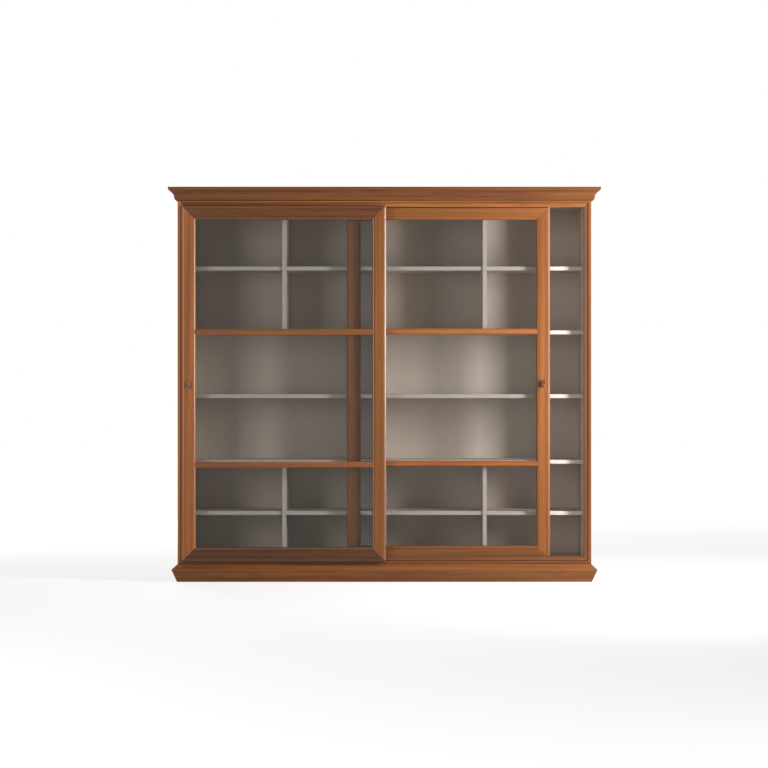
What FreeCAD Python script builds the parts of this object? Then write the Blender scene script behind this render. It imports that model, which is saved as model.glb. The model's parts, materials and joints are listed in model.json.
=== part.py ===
import FreeCAD, Part
import math
import os
import re
import Sketcher
from FreeCAD import Placement, Rotation, Vector

# A bookcase with two glazed sliding doors, in millimetres.  +X runs to the right along the front,
# +Y into the depth and +Z up; the origin is the middle of the footprint, on the floor.
# The front door runs before the face frame and the rear door behind it.

SIZES = [
    ("case_width", 2318, "case across its side panels"),
    ("case_depth", 450, "front of the face frame to the wall side"),
    ("plinth_height", 100, "floor to the foot of the face frame"),
    ("front_height", 2042, "height of the face frame"),
    ("side_thickness", 22, "outer side panels"),
    ("lining_thickness", 19, "inner lining of each side"),
    ("floor_thickness", 32, "bottom board of the case"),
    ("ceiling_thickness", 36, "top board of the compartments"),
    ("board_thickness", 22, "shelves, dividers and centre partition"),
    ("back_thickness", 8, "back panels"),
    ("back_inset", 4, "back panels in from the wall side"),
    ("interior_setback", 75, "face frame's front to the front of the linings"),
    ("shelf_setback", 5, "lining's front to the front of partition and fixed shelves"),
    ("loose_setback", 8, "fixed shelf's front to the front of a loose shelf"),
    ("shelf_gap", 1, "loose shelf to the board at each end"),
    ("shelf_arris", 1.5, "rounding along a shelf's front edges"),
    ("divider_offset", 565, "middle of the case to the middle of a divider"),
    ("lower_shelf_height", 659, "floor to the underside of the lower fixed shelves"),
    ("upper_shelf_height", 1388.5, "floor to the underside of the upper fixed shelves"),
    ("low_loose_height", 370, "floor to the underside of the lowest loose shelves"),
    ("middle_loose_height", 1029, "floor to the underside of the middle loose shelves"),
    ("high_loose_height", 1749, "floor to the underside of the highest loose shelves"),
    ("pin_radius", 2.5, "shelf pin"),
    ("pin_reach", 9, "shelf pin out of its board"),
    ("pin_inset", 45, "shelf pin in from the front and back of a loose shelf"),
    ("frame_face", 41, "face frame members, seen from the front"),
    ("frame_thickness", 30, "face frame members, front to back"),
    ("frame_bead", 18, "outer bead of the face frame"),
    ("frame_quirk", 4, "width of the groove beside the bead"),
    ("quirk_depth", 4, "depth of that groove"),
    ("frame_slope", 8, "fall of the frame's bevel towards the opening"),
    ("frame_round", 3, "rounding of the frame's edges"),
    ("cornice_height", 68, "cornice moulding above the case"),
    ("cornice_drop", 9, "cornice below the top of the case"),
    ("cornice_overhang", 50, "cornice beyond the case, front and sides"),
    ("cornice_thickness", 18, "cornice inward of the case's outer faces"),
    ("cornice_toe", 4, "cornice beyond the case at its foot"),
    ("cornice_sweep", 24, "radius of the ovolo at the foot"),
    ("cornice_waist", 18.5, "cornice beyond the case between ovolo and cove"),
    ("cornice_ovolo", 12, "top of the case to the upper end of the ovolo"),
    ("cornice_neck", 8, "flat between the ovolo and the cove"),
    ("cornice_cove", 65, "radius of the cove"),
    ("cornice_roll", 10.5, "radius of the roll over the cove"),
    ("cornice_roll_width", 5.5, "that roll from front to back"),
    ("cornice_roll_height", 8.5, "height of that roll"),
    ("cornice_fillet", 11, "flat edge at the top of the cornice"),
    ("cornice_arris", 1.5, "bevel along the top edge"),
    ("top_board_thickness", 18, "board that covers the case inside the cornice"),
    ("plinth_thickness", 24, "plinth inward of the case's outer faces"),
    ("plinth_nose", 28, "plinth beyond the case at its nose"),
    ("plinth_foot", 3, "plinth beyond the case at the floor"),
    ("nose_bottom", 60, "floor to the lower end of the nose"),
    ("nose_top", 76, "floor to the upper end of the nose"),
    ("nose_lean", 2, "upper end of the nose in from its lower end"),
    ("nose_radius", 10, "rounding of the nose"),
    ("track_board_width", 70, "board in the plinth that carries the rear track"),
    ("track_board_thickness", 22, "thickness of that board"),
    ("rail_thickness", 22, "cross rails and back rail of the plinth"),
    ("door_overlap", 16, "one shut door behind the other, at the middle"),
    ("door_foot_lap", 24, "front door below the face frame's opening"),
    ("door_head_lap", 4, "front door above the face frame's opening"),
    ("rear_door_lift", 4, "rear door higher than the front door"),
    ("door_thickness", 28, "each door, front to back"),
    ("door_face", 78, "door members, seen from the front"),
    ("door_bevel_width", 12, "bevel round the door's outer edge"),
    ("door_bevel_depth", 6, "fall of that bevel"),
    ("door_bevel_radius", 24, "crown of that bevel"),
    ("sticking_width", 16, "ovolo round the glass"),
    ("sticking_depth", 12, "fall of the ovolo"),
    ("sticking_step", 1.5, "step from the flat to the ovolo"),
    ("sticking_radius", 14, "radius of the ovolo"),
    ("glass_thickness", 5, "door glass"),
    ("glass_setback", 14, "door's front to the front of its glass"),
    ("glass_groove", 10, "depth of the groove for the glass"),
    ("glass_play", 1, "glass to the bottom of its groove"),
    ("bar_face", 33, "glazing bars, seen from the front"),
    ("bar_bevel", 7, "bevel along a glazing bar"),
    ("bar_setback", 3, "door's front to the front of a glazing bar"),
    ("bar_edge", 4, "height of a glazing bar's edges off the glass"),
    ("lower_bar_height", 540, "door's foot to the middle of the lower glazing bar"),
    ("upper_bar_height", 1283, "door's foot to the middle of the upper glazing bar"),
    ("door_gap", 2, "door's face to the face frame, front door and rear door"),
    ("door_end_gap", 3, "rear door shut, to the side panel"),
    ("rear_door_open", 204, "how far the rear door stands open at rest"),
    ("knob_width", 26, "pull knob"),
    ("knob_height", 38, "pull knob"),
    ("knob_depth", 15, "pull knob out of the door"),
    ("knob_plate", 5, "thickness of the knob's front plate"),
    ("knob_neck", 5, "knob's neck in from its plate all round"),
    ("knob_corner", 4, "corner radius of the knob's plate"),
    ("knob_bevel", 1.5, "bevel round the knob's front"),
    ("knob_rise", 990, "door's foot to the middle of the knob"),
    ("track_width", 12, "track's foot"),
    ("track_foot", 1.5, "thickness of the track's foot"),
    ("track_ridge", 3, "width of the track's ridge"),
    ("track_height", 4, "foot and ridge together"),
    ("track_crown", 2, "radius of the ridge's rounded top"),
    ("front_track_line", 19, "face frame's front to the middle of the front track"),
    ("track_end", 12, "track's end to the frame's opening or the side panel"),
    ("wheel_radius", 17, "roller at its rims"),
    ("wheel_width", 8, "roller"),
    ("wheel_groove", 2.5, "depth of the roller's groove"),
    ("wheel_land", 5, "width of the groove at its bottom"),
    ("wheel_flare", 1, "groove's opening at each rim"),
    ("axle_radius", 3, "roller axle"),
    ("axle_fit", 0.05, "roller's bore round its axle"),
    ("running_gap", 0.3, "moving pieces to what they run on or in"),
    ("wheel_inset", 140, "door's side to a roller's axle"),
    ("plate_thickness", 2, "steel of the roller brackets and guides"),
    ("plate_width", 44, "roller and guide plates"),
    ("plate_height", 40, "plates on the front door's back"),
    ("plate_round", 6, "corner radius of the plates"),
    ("guide_plate_depth", 16, "guide plates on the rear door's head, front to back"),
    ("hub_radius", 6, "shoulder of the axle on its plate"),
    ("axle_head", 1.5, "thickness of the axle's head beyond the roller"),
    ("axle_lip", 1.5, "axle's head beyond the axle, all round"),
    ("cheek_gap", 1, "roller to each cheek of its housing"),
    ("mortise_depth", 18, "mortise for the rear door's rollers"),
    ("mortise_fit", 0.2, "mortise round the housing"),
    ("guide_radius", 3.5, "nylon guide pin"),
    ("guide_play", 0.5, "guide pin to each side of its groove"),
    ("guide_engage", 10, "guide pin's reach into its groove"),
    ("guide_clear", 3, "guide pin's tip to the bottom of its groove"),
    ("guide_arm", 2, "thickness of the front guide's arm"),
    ("guide_inset", 90, "door's side to a guide pin"),
    ("channel_wall", 3, "wall of the rear door's head channel"),
    ("buffer_width", 14, "rubber stops of the rear door, across its thickness"),
    ("buffer_length", 20, "rubber stops"),
]
NAMES = {name for name, value, note in SIZES}

doc = FreeCAD.newDocument("Bookcase")
sheet = doc.addObject("Spreadsheet::Sheet", "Sizes")
for row, (name, value, note) in enumerate(SIZES, start=1):
    sheet.set(f"A{row}", name)
    sheet.set(f"B{row}", str(value))
    sheet.set(f"C{row}", note)
    sheet.setAlias(f"B{row}", name)
doc.recompute()

subparts = []


# ---- formulas, places and sketches -------------------------------------------------------------

def in_sheet(formula):
    """The formula with each size's name pointed at its cell."""
    def cell(word):
        return "Sizes." + word.group(0) if word.group(0) in NAMES else word.group(0)
    return re.sub(r"[A-Za-z_]\w*", cell, str(formula))


def amount(formula):
    """What a formula comes to, in millimetres."""
    return float(sheet.evalExpression(in_sheet(formula)))


def put(thing, x="0", y="0", z="0", turn=None):
    """Stand a thing at a place given by formulas."""
    thing.Placement = Placement(Vector(amount(x), amount(y), amount(z)), turn or Rotation())
    for axis, formula in zip("xyz", (x, y, z)):
        thing.setExpression("Placement.Base." + axis, in_sheet(formula))
    return thing


def keep(thing, label):
    """Name a finished sub-part, which is also the name of its file."""
    thing.Label = label
    subparts.append(thing)
    return thing


def box(name, low, high):
    """A board between two corners, each corner three formulas."""
    board = doc.addObject("Part::Box", name)
    for size, start, end in zip(("Length", "Width", "Height"), low, high):
        board.setExpression(size, in_sheet(f"({end}) - ({start})"))
    return put(board, *low)


def group(name, pieces):
    """Several separate solids in one sub-part."""
    together = doc.addObject("Part::Compound", name)
    together.Links = pieces
    return together


def corner(u, v, radius=None, clockwise=False):
    """One corner of an outline; with a radius, a round runs from it to the next corner."""
    return (u, v, radius, clockwise)


def arc_between(start, end, radius, clockwise):
    """The shorter arc of that radius, and whether it is drawn from end to start."""
    if clockwise:
        start, end = end, start
    chord = end - start
    middle = (start + end) * 0.5
    half = chord.Length / 2
    rise = math.sqrt(max(radius * radius - half * half, 0))
    centre = middle + Vector(-chord.y, chord.x, 0).normalize() * rise
    first = math.atan2(start.y - centre.y, start.x - centre.x)
    last = math.atan2(end.y - centre.y, end.x - centre.x)
    return Part.ArcOfCircle(Part.Circle(centre, Vector(0, 0, 1), radius), first, last)


def sketch(body, name, role, corners, offset="0"):
    """A closed outline on one of the body's own origin planes, every corner tied to the sheet."""
    plan = body.newObject("Sketcher::SketchObject", name)
    plane = [feature for feature in body.Origin.OriginFeatures if feature.Role == role][0]
    plan.AttachmentSupport = [(plane, "")]
    plan.MapMode = "FlatFace"
    plan.setExpression("AttachmentOffset.Base.z", in_sheet(offset))
    points = [Vector(amount(u), amount(v), 0) for u, v, radius, clockwise in corners]
    ends = []
    for index, (u, v, radius, clockwise) in enumerate(corners):
        start, end = points[index], points[(index + 1) % len(points)]
        if radius is None:
            plan.addGeometry(Part.LineSegment(start, end))
        else:
            plan.addGeometry(arc_between(start, end, amount(radius), clockwise))
        ends.append((2, 1) if clockwise else (1, 2))
    for index, (u, v, radius, clockwise) in enumerate(corners):
        after = (index + 1) % len(corners)
        plan.addConstraint(Sketcher.Constraint(
            "Coincident", index, ends[index][1], after, ends[after][0]))
        for kind, formula in (("DistanceX", u), ("DistanceY", v)):
            tie = plan.addConstraint(Sketcher.Constraint(
                kind, -1, 1, index, ends[index][0], amount(formula)))
            plan.setExpression(f"Constraints[{tie}]", in_sheet(formula))
        if radius is not None:
            tie = plan.addConstraint(Sketcher.Constraint("Radius", index, amount(radius)))
            plan.setExpression(f"Constraints[{tie}]", in_sheet(radius))
    return plan


def rectangle(low_u, low_v, high_u, high_v):
    """Corners of a rectangle."""
    return [corner(low_u, low_v), corner(high_u, low_v), corner(high_u, high_v),
            corner(low_u, high_v)]


def rounded_rectangle(width, height, radius):
    """Corners of a rectangle with rounded corners, about the sketch's middle."""
    side, top = f"({width}) / 2", f"({height}) / 2"
    near_side, near_top = f"({side} - ({radius}))", f"({top} - ({radius}))"
    return [corner(f"-{near_side}", f"-{top}"), corner(near_side, f"-{top}", radius),
            corner(side, f"-{near_top}"), corner(side, near_top, radius),
            corner(near_side, top), corner(f"-{near_side}", top, radius),
            corner(f"-{side}", near_top), corner(f"-{side}", f"-{near_top}", radius)]


def pad(body, plan, length, reverse=False):
    """Extrude an outline."""
    feature = body.newObject("PartDesign::Pad", plan.Name + "_pad")
    feature.Profile = plan
    feature.Reversed = reverse
    feature.setExpression("Length", in_sheet(length))
    doc.recompute()
    return feature


def pocket(body, plan, depth=None, reverse=False):
    """Cut an outline into the body, right through both ways where no depth is given."""
    before = body.Shape.Volume
    feature = body.newObject("PartDesign::Pocket", plan.Name + "_pocket")
    feature.Profile = plan
    if depth is None:
        feature.Type = "ThroughAll"
        feature.SideType = "Symmetric"
    else:
        feature.Reversed = reverse
        feature.setExpression("Length", in_sheet(depth))
    doc.recompute()
    if not feature.Shape.Volume < before:
        raise ValueError(plan.Name + " cuts nothing")
    return feature


def cylinder(name, radius, length, x, y, z, turn=None):
    """A round pin that starts at a place."""
    pin = doc.addObject("Part::Cylinder", name)
    pin.setExpression("Radius", in_sheet(radius))
    pin.setExpression("Height", in_sheet(length))
    return put(pin, x, y, z, turn)


# ---- mouldings ---------------------------------------------------------------------------------

# Each moulding lies along its own X, with its section in Y, outward, and Z.
TURN = {
    "face_bottom": Rotation(Vector(-1, 0, 0), Vector(0, 0, -1), Vector(0, -1, 0), "XYZ"),
    "face_right": Rotation(Vector(0, 0, -1), Vector(1, 0, 0), Vector(0, -1, 0), "XYZ"),
    "face_top": Rotation(Vector(1, 0, 0), Vector(0, 0, 1), Vector(0, -1, 0), "XYZ"),
    "face_left": Rotation(Vector(0, 0, 1), Vector(-1, 0, 0), Vector(0, -1, 0), "XYZ"),
    "plan_front": Rotation(Vector(-1, 0, 0), Vector(0, -1, 0), Vector(0, 0, 1), "XYZ"),
    "plan_right": Rotation(Vector(0, -1, 0), Vector(1, 0, 0), Vector(0, 0, 1), "XYZ"),
    "plan_left": Rotation(Vector(0, 1, 0), Vector(-1, 0, 0), Vector(0, 0, 1), "XYZ"),
}
MITRE_SPARE = "1"


def moulding(name, section, length, inward, outward="0", mitres=("start", "end")):
    """A moulded bar, its length taken along Y = 0, cut at 45 degrees at its mitred ends."""
    body = doc.addObject("PartDesign::Body", name)
    start = f"-({outward})" if "start" in mitres else "0"
    end = f"({length}) + ({outward})" if "end" in mitres else length
    pad(body, sketch(body, name + "_section", "YZ_Plane", section, offset=start),
        f"({end}) - ({start})")
    far = f"({outward}) + {MITRE_SPARE}"
    near = f"({inward}) + {MITRE_SPARE}"
    if "start" in mitres:
        waste = [corner(f"-({far})", far), corner(f"-({far})", f"-({near})"),
                 corner(near, f"-({near})")]
        pocket(body, sketch(body, name + "_start_mitre", "XY_Plane", waste))
    if "end" in mitres:
        waste = [corner(f"({length}) + {far}", far), corner(f"({length}) - ({near})", f"-({near})"),
                 corner(f"({length}) + {far}", f"-({near})")]
        pocket(body, sketch(body, name + "_end_mitre", "XY_Plane", waste))
    return body


# ---- levels and lines of the case ----------------------------------------------------------------

SIDE = "case_width / 2"
BACK = "(case_depth + cornice_overhang) / 2"
FRONT = "(cornice_overhang - case_depth) / 2"
FRAME_BACK = f"{FRONT} + frame_thickness"
LINING_FRONT = f"{FRONT} + interior_setback"
SHELF_FRONT = f"{LINING_FRONT} + shelf_setback"
BACK_PANEL_FRONT = f"{BACK} - back_inset - back_thickness"
SIDE_INNER = f"{SIDE} - side_thickness"
LINING_INNER = f"{SIDE_INNER} - lining_thickness"
FLOOR_TOP = "plinth_height + floor_thickness"
FRAME_TOP = "plinth_height + front_height"
CEILING = f"{FRAME_TOP} - ceiling_thickness"
PARTITION_FACE = "board_thickness / 2"
OPENING_BOTTOM = "plinth_height + frame_face"
OPENING_SIDE = f"{SIDE} - frame_face"
OPENING_TOP = f"{FRAME_TOP} - frame_face"
SHUT_EDGE = f"{SIDE_INNER} - door_end_gap"
DOOR_WIDTH = f"({SHUT_EDGE} + door_overlap / 2)"
DOOR_HEIGHT = "(front_height - 2 * frame_face + door_foot_lap + door_head_lap)"
FRONT_DOOR_FOOT = f"({OPENING_BOTTOM} - door_foot_lap)"
REAR_DOOR_FOOT = f"({FRONT_DOOR_FOOT} + rear_door_lift)"
REAR_DOOR_HEAD = f"({REAR_DOOR_FOOT} + {DOOR_HEIGHT})"


SIDES = (("left", -1), ("right", 1))


def mirrored_box(name, sign, near, far, front, back, bottom, top):
    """A board on the right (sign 1) or its mirror image on the left (sign -1)."""
    low, high = (near, far) if sign > 0 else (f"-({far})", f"-({near})")
    return box(name, (low, front, bottom), (high, back, top))


# ---- plinth --------------------------------------------------------------------------------------

PLINTH_SECTION = [
    corner("-plinth_thickness", "0"), corner("plinth_foot", "0"),
    corner("plinth_nose", "nose_bottom", "nose_radius"), corner("plinth_nose - nose_lean", "nose_top"),
    corner("0", "plinth_height"), corner("-plinth_thickness", "plinth_height")]
PLINTH_REACH = "plinth_nose + nose_radius"


def build_plinth():
    """Moulded front and sides, with the board and rails that carry the case inside them."""
    front = moulding("plinth_front", PLINTH_SECTION, "case_width", "plinth_thickness", PLINTH_REACH)
    keep(put(front, SIDE, FRONT, "0", TURN["plan_front"]), "plinth_front")
    right = moulding("plinth_right", PLINTH_SECTION, "case_depth", "plinth_thickness",
                     PLINTH_REACH, mitres=("end",))
    keep(put(right, SIDE, BACK, "0", TURN["plan_right"]), "plinth_right")
    left = moulding("plinth_left", PLINTH_SECTION, "case_depth", "plinth_thickness",
                    PLINTH_REACH, mitres=("start",))
    keep(put(left, f"-({SIDE})", FRONT, "0", TURN["plan_left"]), "plinth_left")

    inner = f"{SIDE} - plinth_thickness"
    board_front = f"{FRONT} + plinth_thickness"
    board_back = f"{board_front} + track_board_width"
    rails = [box("track_board", (f"-({inner})", board_front, "plinth_height - track_board_thickness"),
                 (inner, board_back, "plinth_height")),
             box("back_rail", (f"-({inner})", f"{BACK} - rail_thickness", "0"),
                 (inner, BACK, "plinth_height"))]
    for name, low in (("left", f"-({inner})"), ("middle", "-rail_thickness / 2"),
                      ("right", f"{inner} - rail_thickness")):
        rails.append(box(name + "_cross_rail", (low, board_back, "0"),
                         (f"{low} + rail_thickness", f"{BACK} - rail_thickness", "plinth_height")))
    keep(group("plinth_inner_frame", rails), "plinth_inner_frame")


# ---- case and compartments -------------------------------------------------------------------------

def build_case():
    """Outer panels, linings, floor, ceiling, backs and the board under the cornice."""
    for side, sign in SIDES:
        keep(mirrored_box("side_panel_" + side, sign, SIDE_INNER, SIDE, FRAME_BACK, BACK,
                          "plinth_height", FRAME_TOP), "side_panel_" + side)
        keep(mirrored_box("lining_" + side, sign, LINING_INNER, SIDE_INNER, LINING_FRONT, BACK,
                          FLOOR_TOP, CEILING), "lining_" + side)
        keep(mirrored_box("back_panel_" + side, sign, "0", LINING_INNER, BACK_PANEL_FRONT,
                          f"{BACK} - back_inset", FLOOR_TOP, CEILING), "back_panel_" + side)
    keep(box("case_floor", (f"-({SIDE_INNER})", LINING_FRONT, "plinth_height"),
             (SIDE_INNER, BACK, FLOOR_TOP)), "case_floor")
    keep(box("case_ceiling", (f"-({SIDE_INNER})", LINING_FRONT, CEILING),
             (SIDE_INNER, BACK, FRAME_TOP)), "case_ceiling")
    keep(box("centre_partition", (f"-{PARTITION_FACE}", SHELF_FRONT, FLOOR_TOP),
             (PARTITION_FACE, BACK_PANEL_FRONT, CEILING)), "centre_partition")
    board_side = f"{SIDE} - cornice_thickness"
    keep(box("top_board", (f"-({board_side})", f"{FRONT} + cornice_thickness", FRAME_TOP),
             (board_side, BACK, f"{FRAME_TOP} + top_board_thickness")), "top_board")


def shelf(name, low_x, high_x, underside, front):
    """A shelf with its two front edges rounded, lying along X."""
    deep = f"({BACK_PANEL_FRONT}) - ({front})"
    section = [corner(f"-({deep})", "0"), corner("-shelf_arris", "0", "shelf_arris"),
               corner("0", "shelf_arris"), corner("0", "board_thickness - shelf_arris", "shelf_arris"),
               corner("-shelf_arris", "board_thickness"), corner(f"-({deep})", "board_thickness")]
    body = doc.addObject("PartDesign::Body", name)
    pad(body, sketch(body, name + "_section", "YZ_Plane", section), f"({high_x}) - ({low_x})")
    return put(body, high_x, front, underside, TURN["plan_front"])


DIVIDER_NEAR = "divider_offset - board_thickness / 2"
DIVIDER_FAR = "divider_offset + board_thickness / 2"
# The two columns of one half, each with its distances from the middle of the case.
COLUMNS = (("inner", PARTITION_FACE, DIVIDER_NEAR), ("outer", DIVIDER_FAR, LINING_INNER))


def span(sign, near, far):
    """Lower and higher X of a stretch given by its distances from the middle."""
    return (near, far) if sign > 0 else (f"-({far})", f"-({near})")


LOOSE_FRONT = f"{SHELF_FRONT} + loose_setback"
ALONG_X = Rotation(Vector(0, 1, 0), 90)


def pins(name, low_x, high_x, underside):
    """Four shelf pins, two from each board beside the shelf."""
    made = []
    rows = (("front", f"{LOOSE_FRONT} + pin_inset"), ("back", f"{BACK_PANEL_FRONT} - pin_inset"))
    for row_name, y in rows:
        for end, x in (("low", low_x), ("high", f"({high_x}) - pin_reach")):
            made.append(cylinder(f"{name}_{row_name}_{end}_pin", "pin_radius", "pin_reach",
                                 x, y, f"{underside} - pin_radius", ALONG_X))
    return made


def loose_shelf(name, sign, near, far, underside):
    """A shelf that lies on pins, a little shorter than the space it lies in."""
    low, high = span(sign, near, far)
    board = shelf(name, f"{low} + shelf_gap", f"{high} - shelf_gap", underside, LOOSE_FRONT)
    return board, pins(name, low, high, underside)


def build_compartments():
    """Fixed shelves, dividers, and the loose shelves on their pins."""
    all_pins = []
    for side, sign in SIDES:
        low, high = span(sign, PARTITION_FACE, LINING_INNER)
        for level, underside in (("lower", "lower_shelf_height"), ("upper", "upper_shelf_height")):
            name = f"{level}_fixed_shelf_{side}"
            keep(shelf(name, low, high, underside, SHELF_FRONT), name)
        middle, middle_pins = loose_shelf("middle_shelf_" + side, sign, PARTITION_FACE,
                                          LINING_INNER, "middle_loose_height")
        keep(middle, "middle_shelf_" + side)
        all_pins += middle_pins
        for level, underside in (("lower", "low_loose_height"), ("upper", "high_loose_height")):
            pair = []
            for column, near, far in COLUMNS:
                board, board_pins = loose_shelf(f"{level}_{column}_shelf_{side}", sign, near, far,
                                                underside)
                pair.append(board)
                all_pins += board_pins
            keep(group(f"{level}_shelves_{side}", pair), f"{level}_shelves_{side}")
    for level, bottom, top in (("lower", FLOOR_TOP, "lower_shelf_height"),
                               ("upper", "upper_shelf_height + board_thickness", CEILING)):
        pair = [mirrored_box(f"{level}_divider_{side}", sign, DIVIDER_NEAR, DIVIDER_FAR,
                             SHELF_FRONT, BACK_PANEL_FRONT, bottom, top) for side, sign in SIDES]
        keep(group(level + "_dividers", pair), level + "_dividers")
    keep(group("shelf_pins", all_pins), "shelf_pins")


# ---- face frame ----------------------------------------------------------------------------------

GUIDE_GROOVE = "guide_radius + guide_play"


def frame_section(guide_groove=False):
    """Bead, quirk and bevel; the head's inner edge also has the groove for the door guides."""
    inner_edge = []
    if guide_groove:
        floor = "-(frame_face - guide_engage - guide_clear)"
        groove_front = f"-(front_track_line - ({GUIDE_GROOVE}))"
        groove_back = f"-(front_track_line + {GUIDE_GROOVE})"
        inner_edge = [corner("-frame_face", groove_front), corner(floor, groove_front),
                      corner(floor, groove_back), corner("-frame_face", groove_back)]
    bevel_start = "-(frame_bead + frame_quirk)"
    return [
        corner("0", "-frame_thickness"), corner("0", "-frame_round", "frame_round"),
        corner("-frame_round", "0"), corner("-(frame_bead - frame_round)", "0", "frame_round"),
        corner("-frame_bead", "-frame_round"), corner("-frame_bead", "-quirk_depth"),
        corner(bevel_start, "-quirk_depth"), corner(bevel_start, "-frame_round / 2"),
        corner("-(frame_face - frame_round)", "-frame_slope", "frame_round"),
        corner("-frame_face", "-(frame_slope + frame_round)"),
        *inner_edge, corner("-frame_face", "-frame_thickness")]


def four_members(prefix, section, sections, wide, high, inward, low_x, front, bottom):
    """Two stiles and two rails, mitred at the corners; a member may have a section of its own."""
    places = (("rail_bottom", "face_bottom", wide, f"{low_x} + {wide}", bottom),
              ("stile_right", "face_right", high, f"{low_x} + {wide}", f"{bottom} + {high}"),
              ("rail_top", "face_top", wide, low_x, f"{bottom} + {high}"),
              ("stile_left", "face_left", high, low_x, bottom))
    members = {}
    for member, turn, length, x, z in places:
        bar = moulding(f"{prefix}_{member}", sections.get(member, section), length, inward)
        members[member] = keep(put(bar, x, front, z, TURN[turn]), f"{prefix}_{member}")
    return members


def build_face_frame():
    """The mitred frame round the opening."""
    four_members("frame", frame_section(), {"rail_top": frame_section(guide_groove=True)},
                 "case_width", "front_height", "frame_face", f"-({SIDE})", FRONT, "plinth_height")


# ---- cornice -------------------------------------------------------------------------------------

ROLL_TOP = "(cornice_height - cornice_fillet)"
ROLL_FOOT = f"({ROLL_TOP} - cornice_roll_height)"
CORNICE_SECTION = [
    corner("-cornice_thickness", "0"), corner("0", "0"), corner("0", "-cornice_drop"),
    corner("cornice_toe", "-cornice_drop", "cornice_sweep"),
    corner("cornice_waist", "cornice_ovolo"),
    corner("cornice_waist", "cornice_ovolo + cornice_neck", "cornice_cove", clockwise=True),
    corner("cornice_overhang - cornice_roll_width", ROLL_FOOT, "cornice_roll"),
    corner("cornice_overhang", ROLL_TOP),
    corner("cornice_overhang", "cornice_height - cornice_arris"),
    corner("cornice_overhang - cornice_arris", "cornice_height"),
    corner("-cornice_thickness", "cornice_height")]


def build_cornice():
    """Three lengths of moulding, mitred at the front corners."""
    front = moulding("cornice_front", CORNICE_SECTION, "case_width", "cornice_thickness",
                     "cornice_overhang")
    keep(put(front, SIDE, FRONT, FRAME_TOP, TURN["plan_front"]), "cornice_front")
    right = moulding("cornice_right", CORNICE_SECTION, "case_depth", "cornice_thickness",
                     "cornice_overhang", mitres=("end",))
    keep(put(right, SIDE, BACK, FRAME_TOP, TURN["plan_right"]), "cornice_right")
    left = moulding("cornice_left", CORNICE_SECTION, "case_depth", "cornice_thickness",
                    "cornice_overhang", mitres=("start",))
    keep(put(left, f"-({SIDE})", FRONT, FRAME_TOP, TURN["plan_left"]), "cornice_left")


# ---- tracks, head channel and stops -----------------------------------------------------------------

REAR_DOOR_FRONT = f"{FRAME_BACK} + door_gap"
REAR_TRACK_LINE = f"{REAR_DOOR_FRONT} + door_thickness / 2"
FRONT_TRACK_LINE = f"{FRONT} + front_track_line"
RIDGE_SHOULDER = "(track_height - track_crown + sqrt(track_crown ^ 2 - track_ridge ^ 2 / 4))"
TRACK_SECTION = [
    corner("-track_width / 2", "0"), corner("track_width / 2", "0"),
    corner("track_width / 2", "track_foot"), corner("track_ridge / 2", "track_foot"),
    corner("track_ridge / 2", RIDGE_SHOULDER, "track_crown"),
    corner("-track_ridge / 2", RIDGE_SHOULDER),
    corner("-track_ridge / 2", "track_foot"), corner("-track_width / 2", "track_foot")]


def build_tracks():
    """Ridged tracks under both doors, the head channel of the rear door, and the rubber stops."""
    for name, side, y, z in (("front_track", f"{OPENING_SIDE} - track_end", FRONT_TRACK_LINE,
                              OPENING_BOTTOM),
                             ("rear_track", f"{SIDE_INNER} - track_end", REAR_TRACK_LINE,
                              "plinth_height")):
        track = doc.addObject("PartDesign::Body", name)
        pad(track, sketch(track, name + "_section", "YZ_Plane", TRACK_SECTION), f"2 * ({side})")
        keep(put(track, side, y, z, TURN["plan_front"]), name)

    half = f"({GUIDE_GROOVE})"
    outer = f"({half} + channel_wall)"
    rise = f"({FRAME_TOP} - ({CHANNEL_BOTTOM}))"
    section = [corner(f"-{outer}", "0"), corner(f"-{half}", "0"),
               corner(f"-{half}", f"{rise} - channel_wall"), corner(half, f"{rise} - channel_wall"),
               corner(half, "0"), corner(outer, "0"), corner(outer, rise), corner(f"-{outer}", rise)]
    channel = doc.addObject("PartDesign::Body", "head_channel")
    pad(channel, sketch(channel, "channel_section", "YZ_Plane", section), f"2 * ({SIDE_INNER})")
    keep(put(channel, SIDE_INNER, REAR_TRACK_LINE, CHANNEL_BOTTOM, TURN["plan_front"]),
         "head_channel")

    stops = []
    reach = f"({SHUT_EDGE}) - guide_inset + guide_radius + running_gap"
    for side, sign in SIDES:
        stops.append(mirrored_box("front_stop_" + side, sign, reach, f"{reach} + buffer_length",
                                  f"{FRONT_TRACK_LINE} - ({GUIDE_GROOVE})",
                                  f"{FRONT_TRACK_LINE} + {GUIDE_GROOVE}",
                                  OPENING_TOP, f"{OPENING_TOP} + guide_engage + guide_clear"))
        stops.append(mirrored_box("rear_stop_" + side, sign,
                                  f"{SHUT_EDGE} + running_gap", SIDE_INNER,
                                  f"{REAR_TRACK_LINE} - buffer_width / 2",
                                  f"{REAR_TRACK_LINE} + buffer_width / 2",
                                  f"{REAR_DOOR_FOOT} + door_face",
                                  f"{REAR_DOOR_FOOT} + door_face + buffer_length"))
    keep(group("door_stops", stops), "door_stops")


# ---- doors ---------------------------------------------------------------------------------------

def door_section():
    """Crowned bevel outside, flat face, ovolo inside, and the groove that holds the glass."""
    shoulder = "-(door_face - sticking_width)"
    groove_front = "-glass_setback"
    groove_back = "-(glass_setback + glass_thickness)"
    bottom = "-(door_face - glass_groove)"
    return [
        corner("0", "-door_thickness"), corner("0", "-door_bevel_depth", "door_bevel_radius"),
        corner("-door_bevel_width", "-sticking_step / 2"), corner("-door_bevel_width", "0"),
        corner(shoulder, "0"), corner(shoulder, "-sticking_step", "sticking_radius"),
        corner("-door_face", "-sticking_depth"), corner("-door_face", groove_front),
        corner(bottom, groove_front), corner(bottom, groove_back),
        corner("-door_face", groove_back), corner("-door_face", "-door_thickness")]


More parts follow.
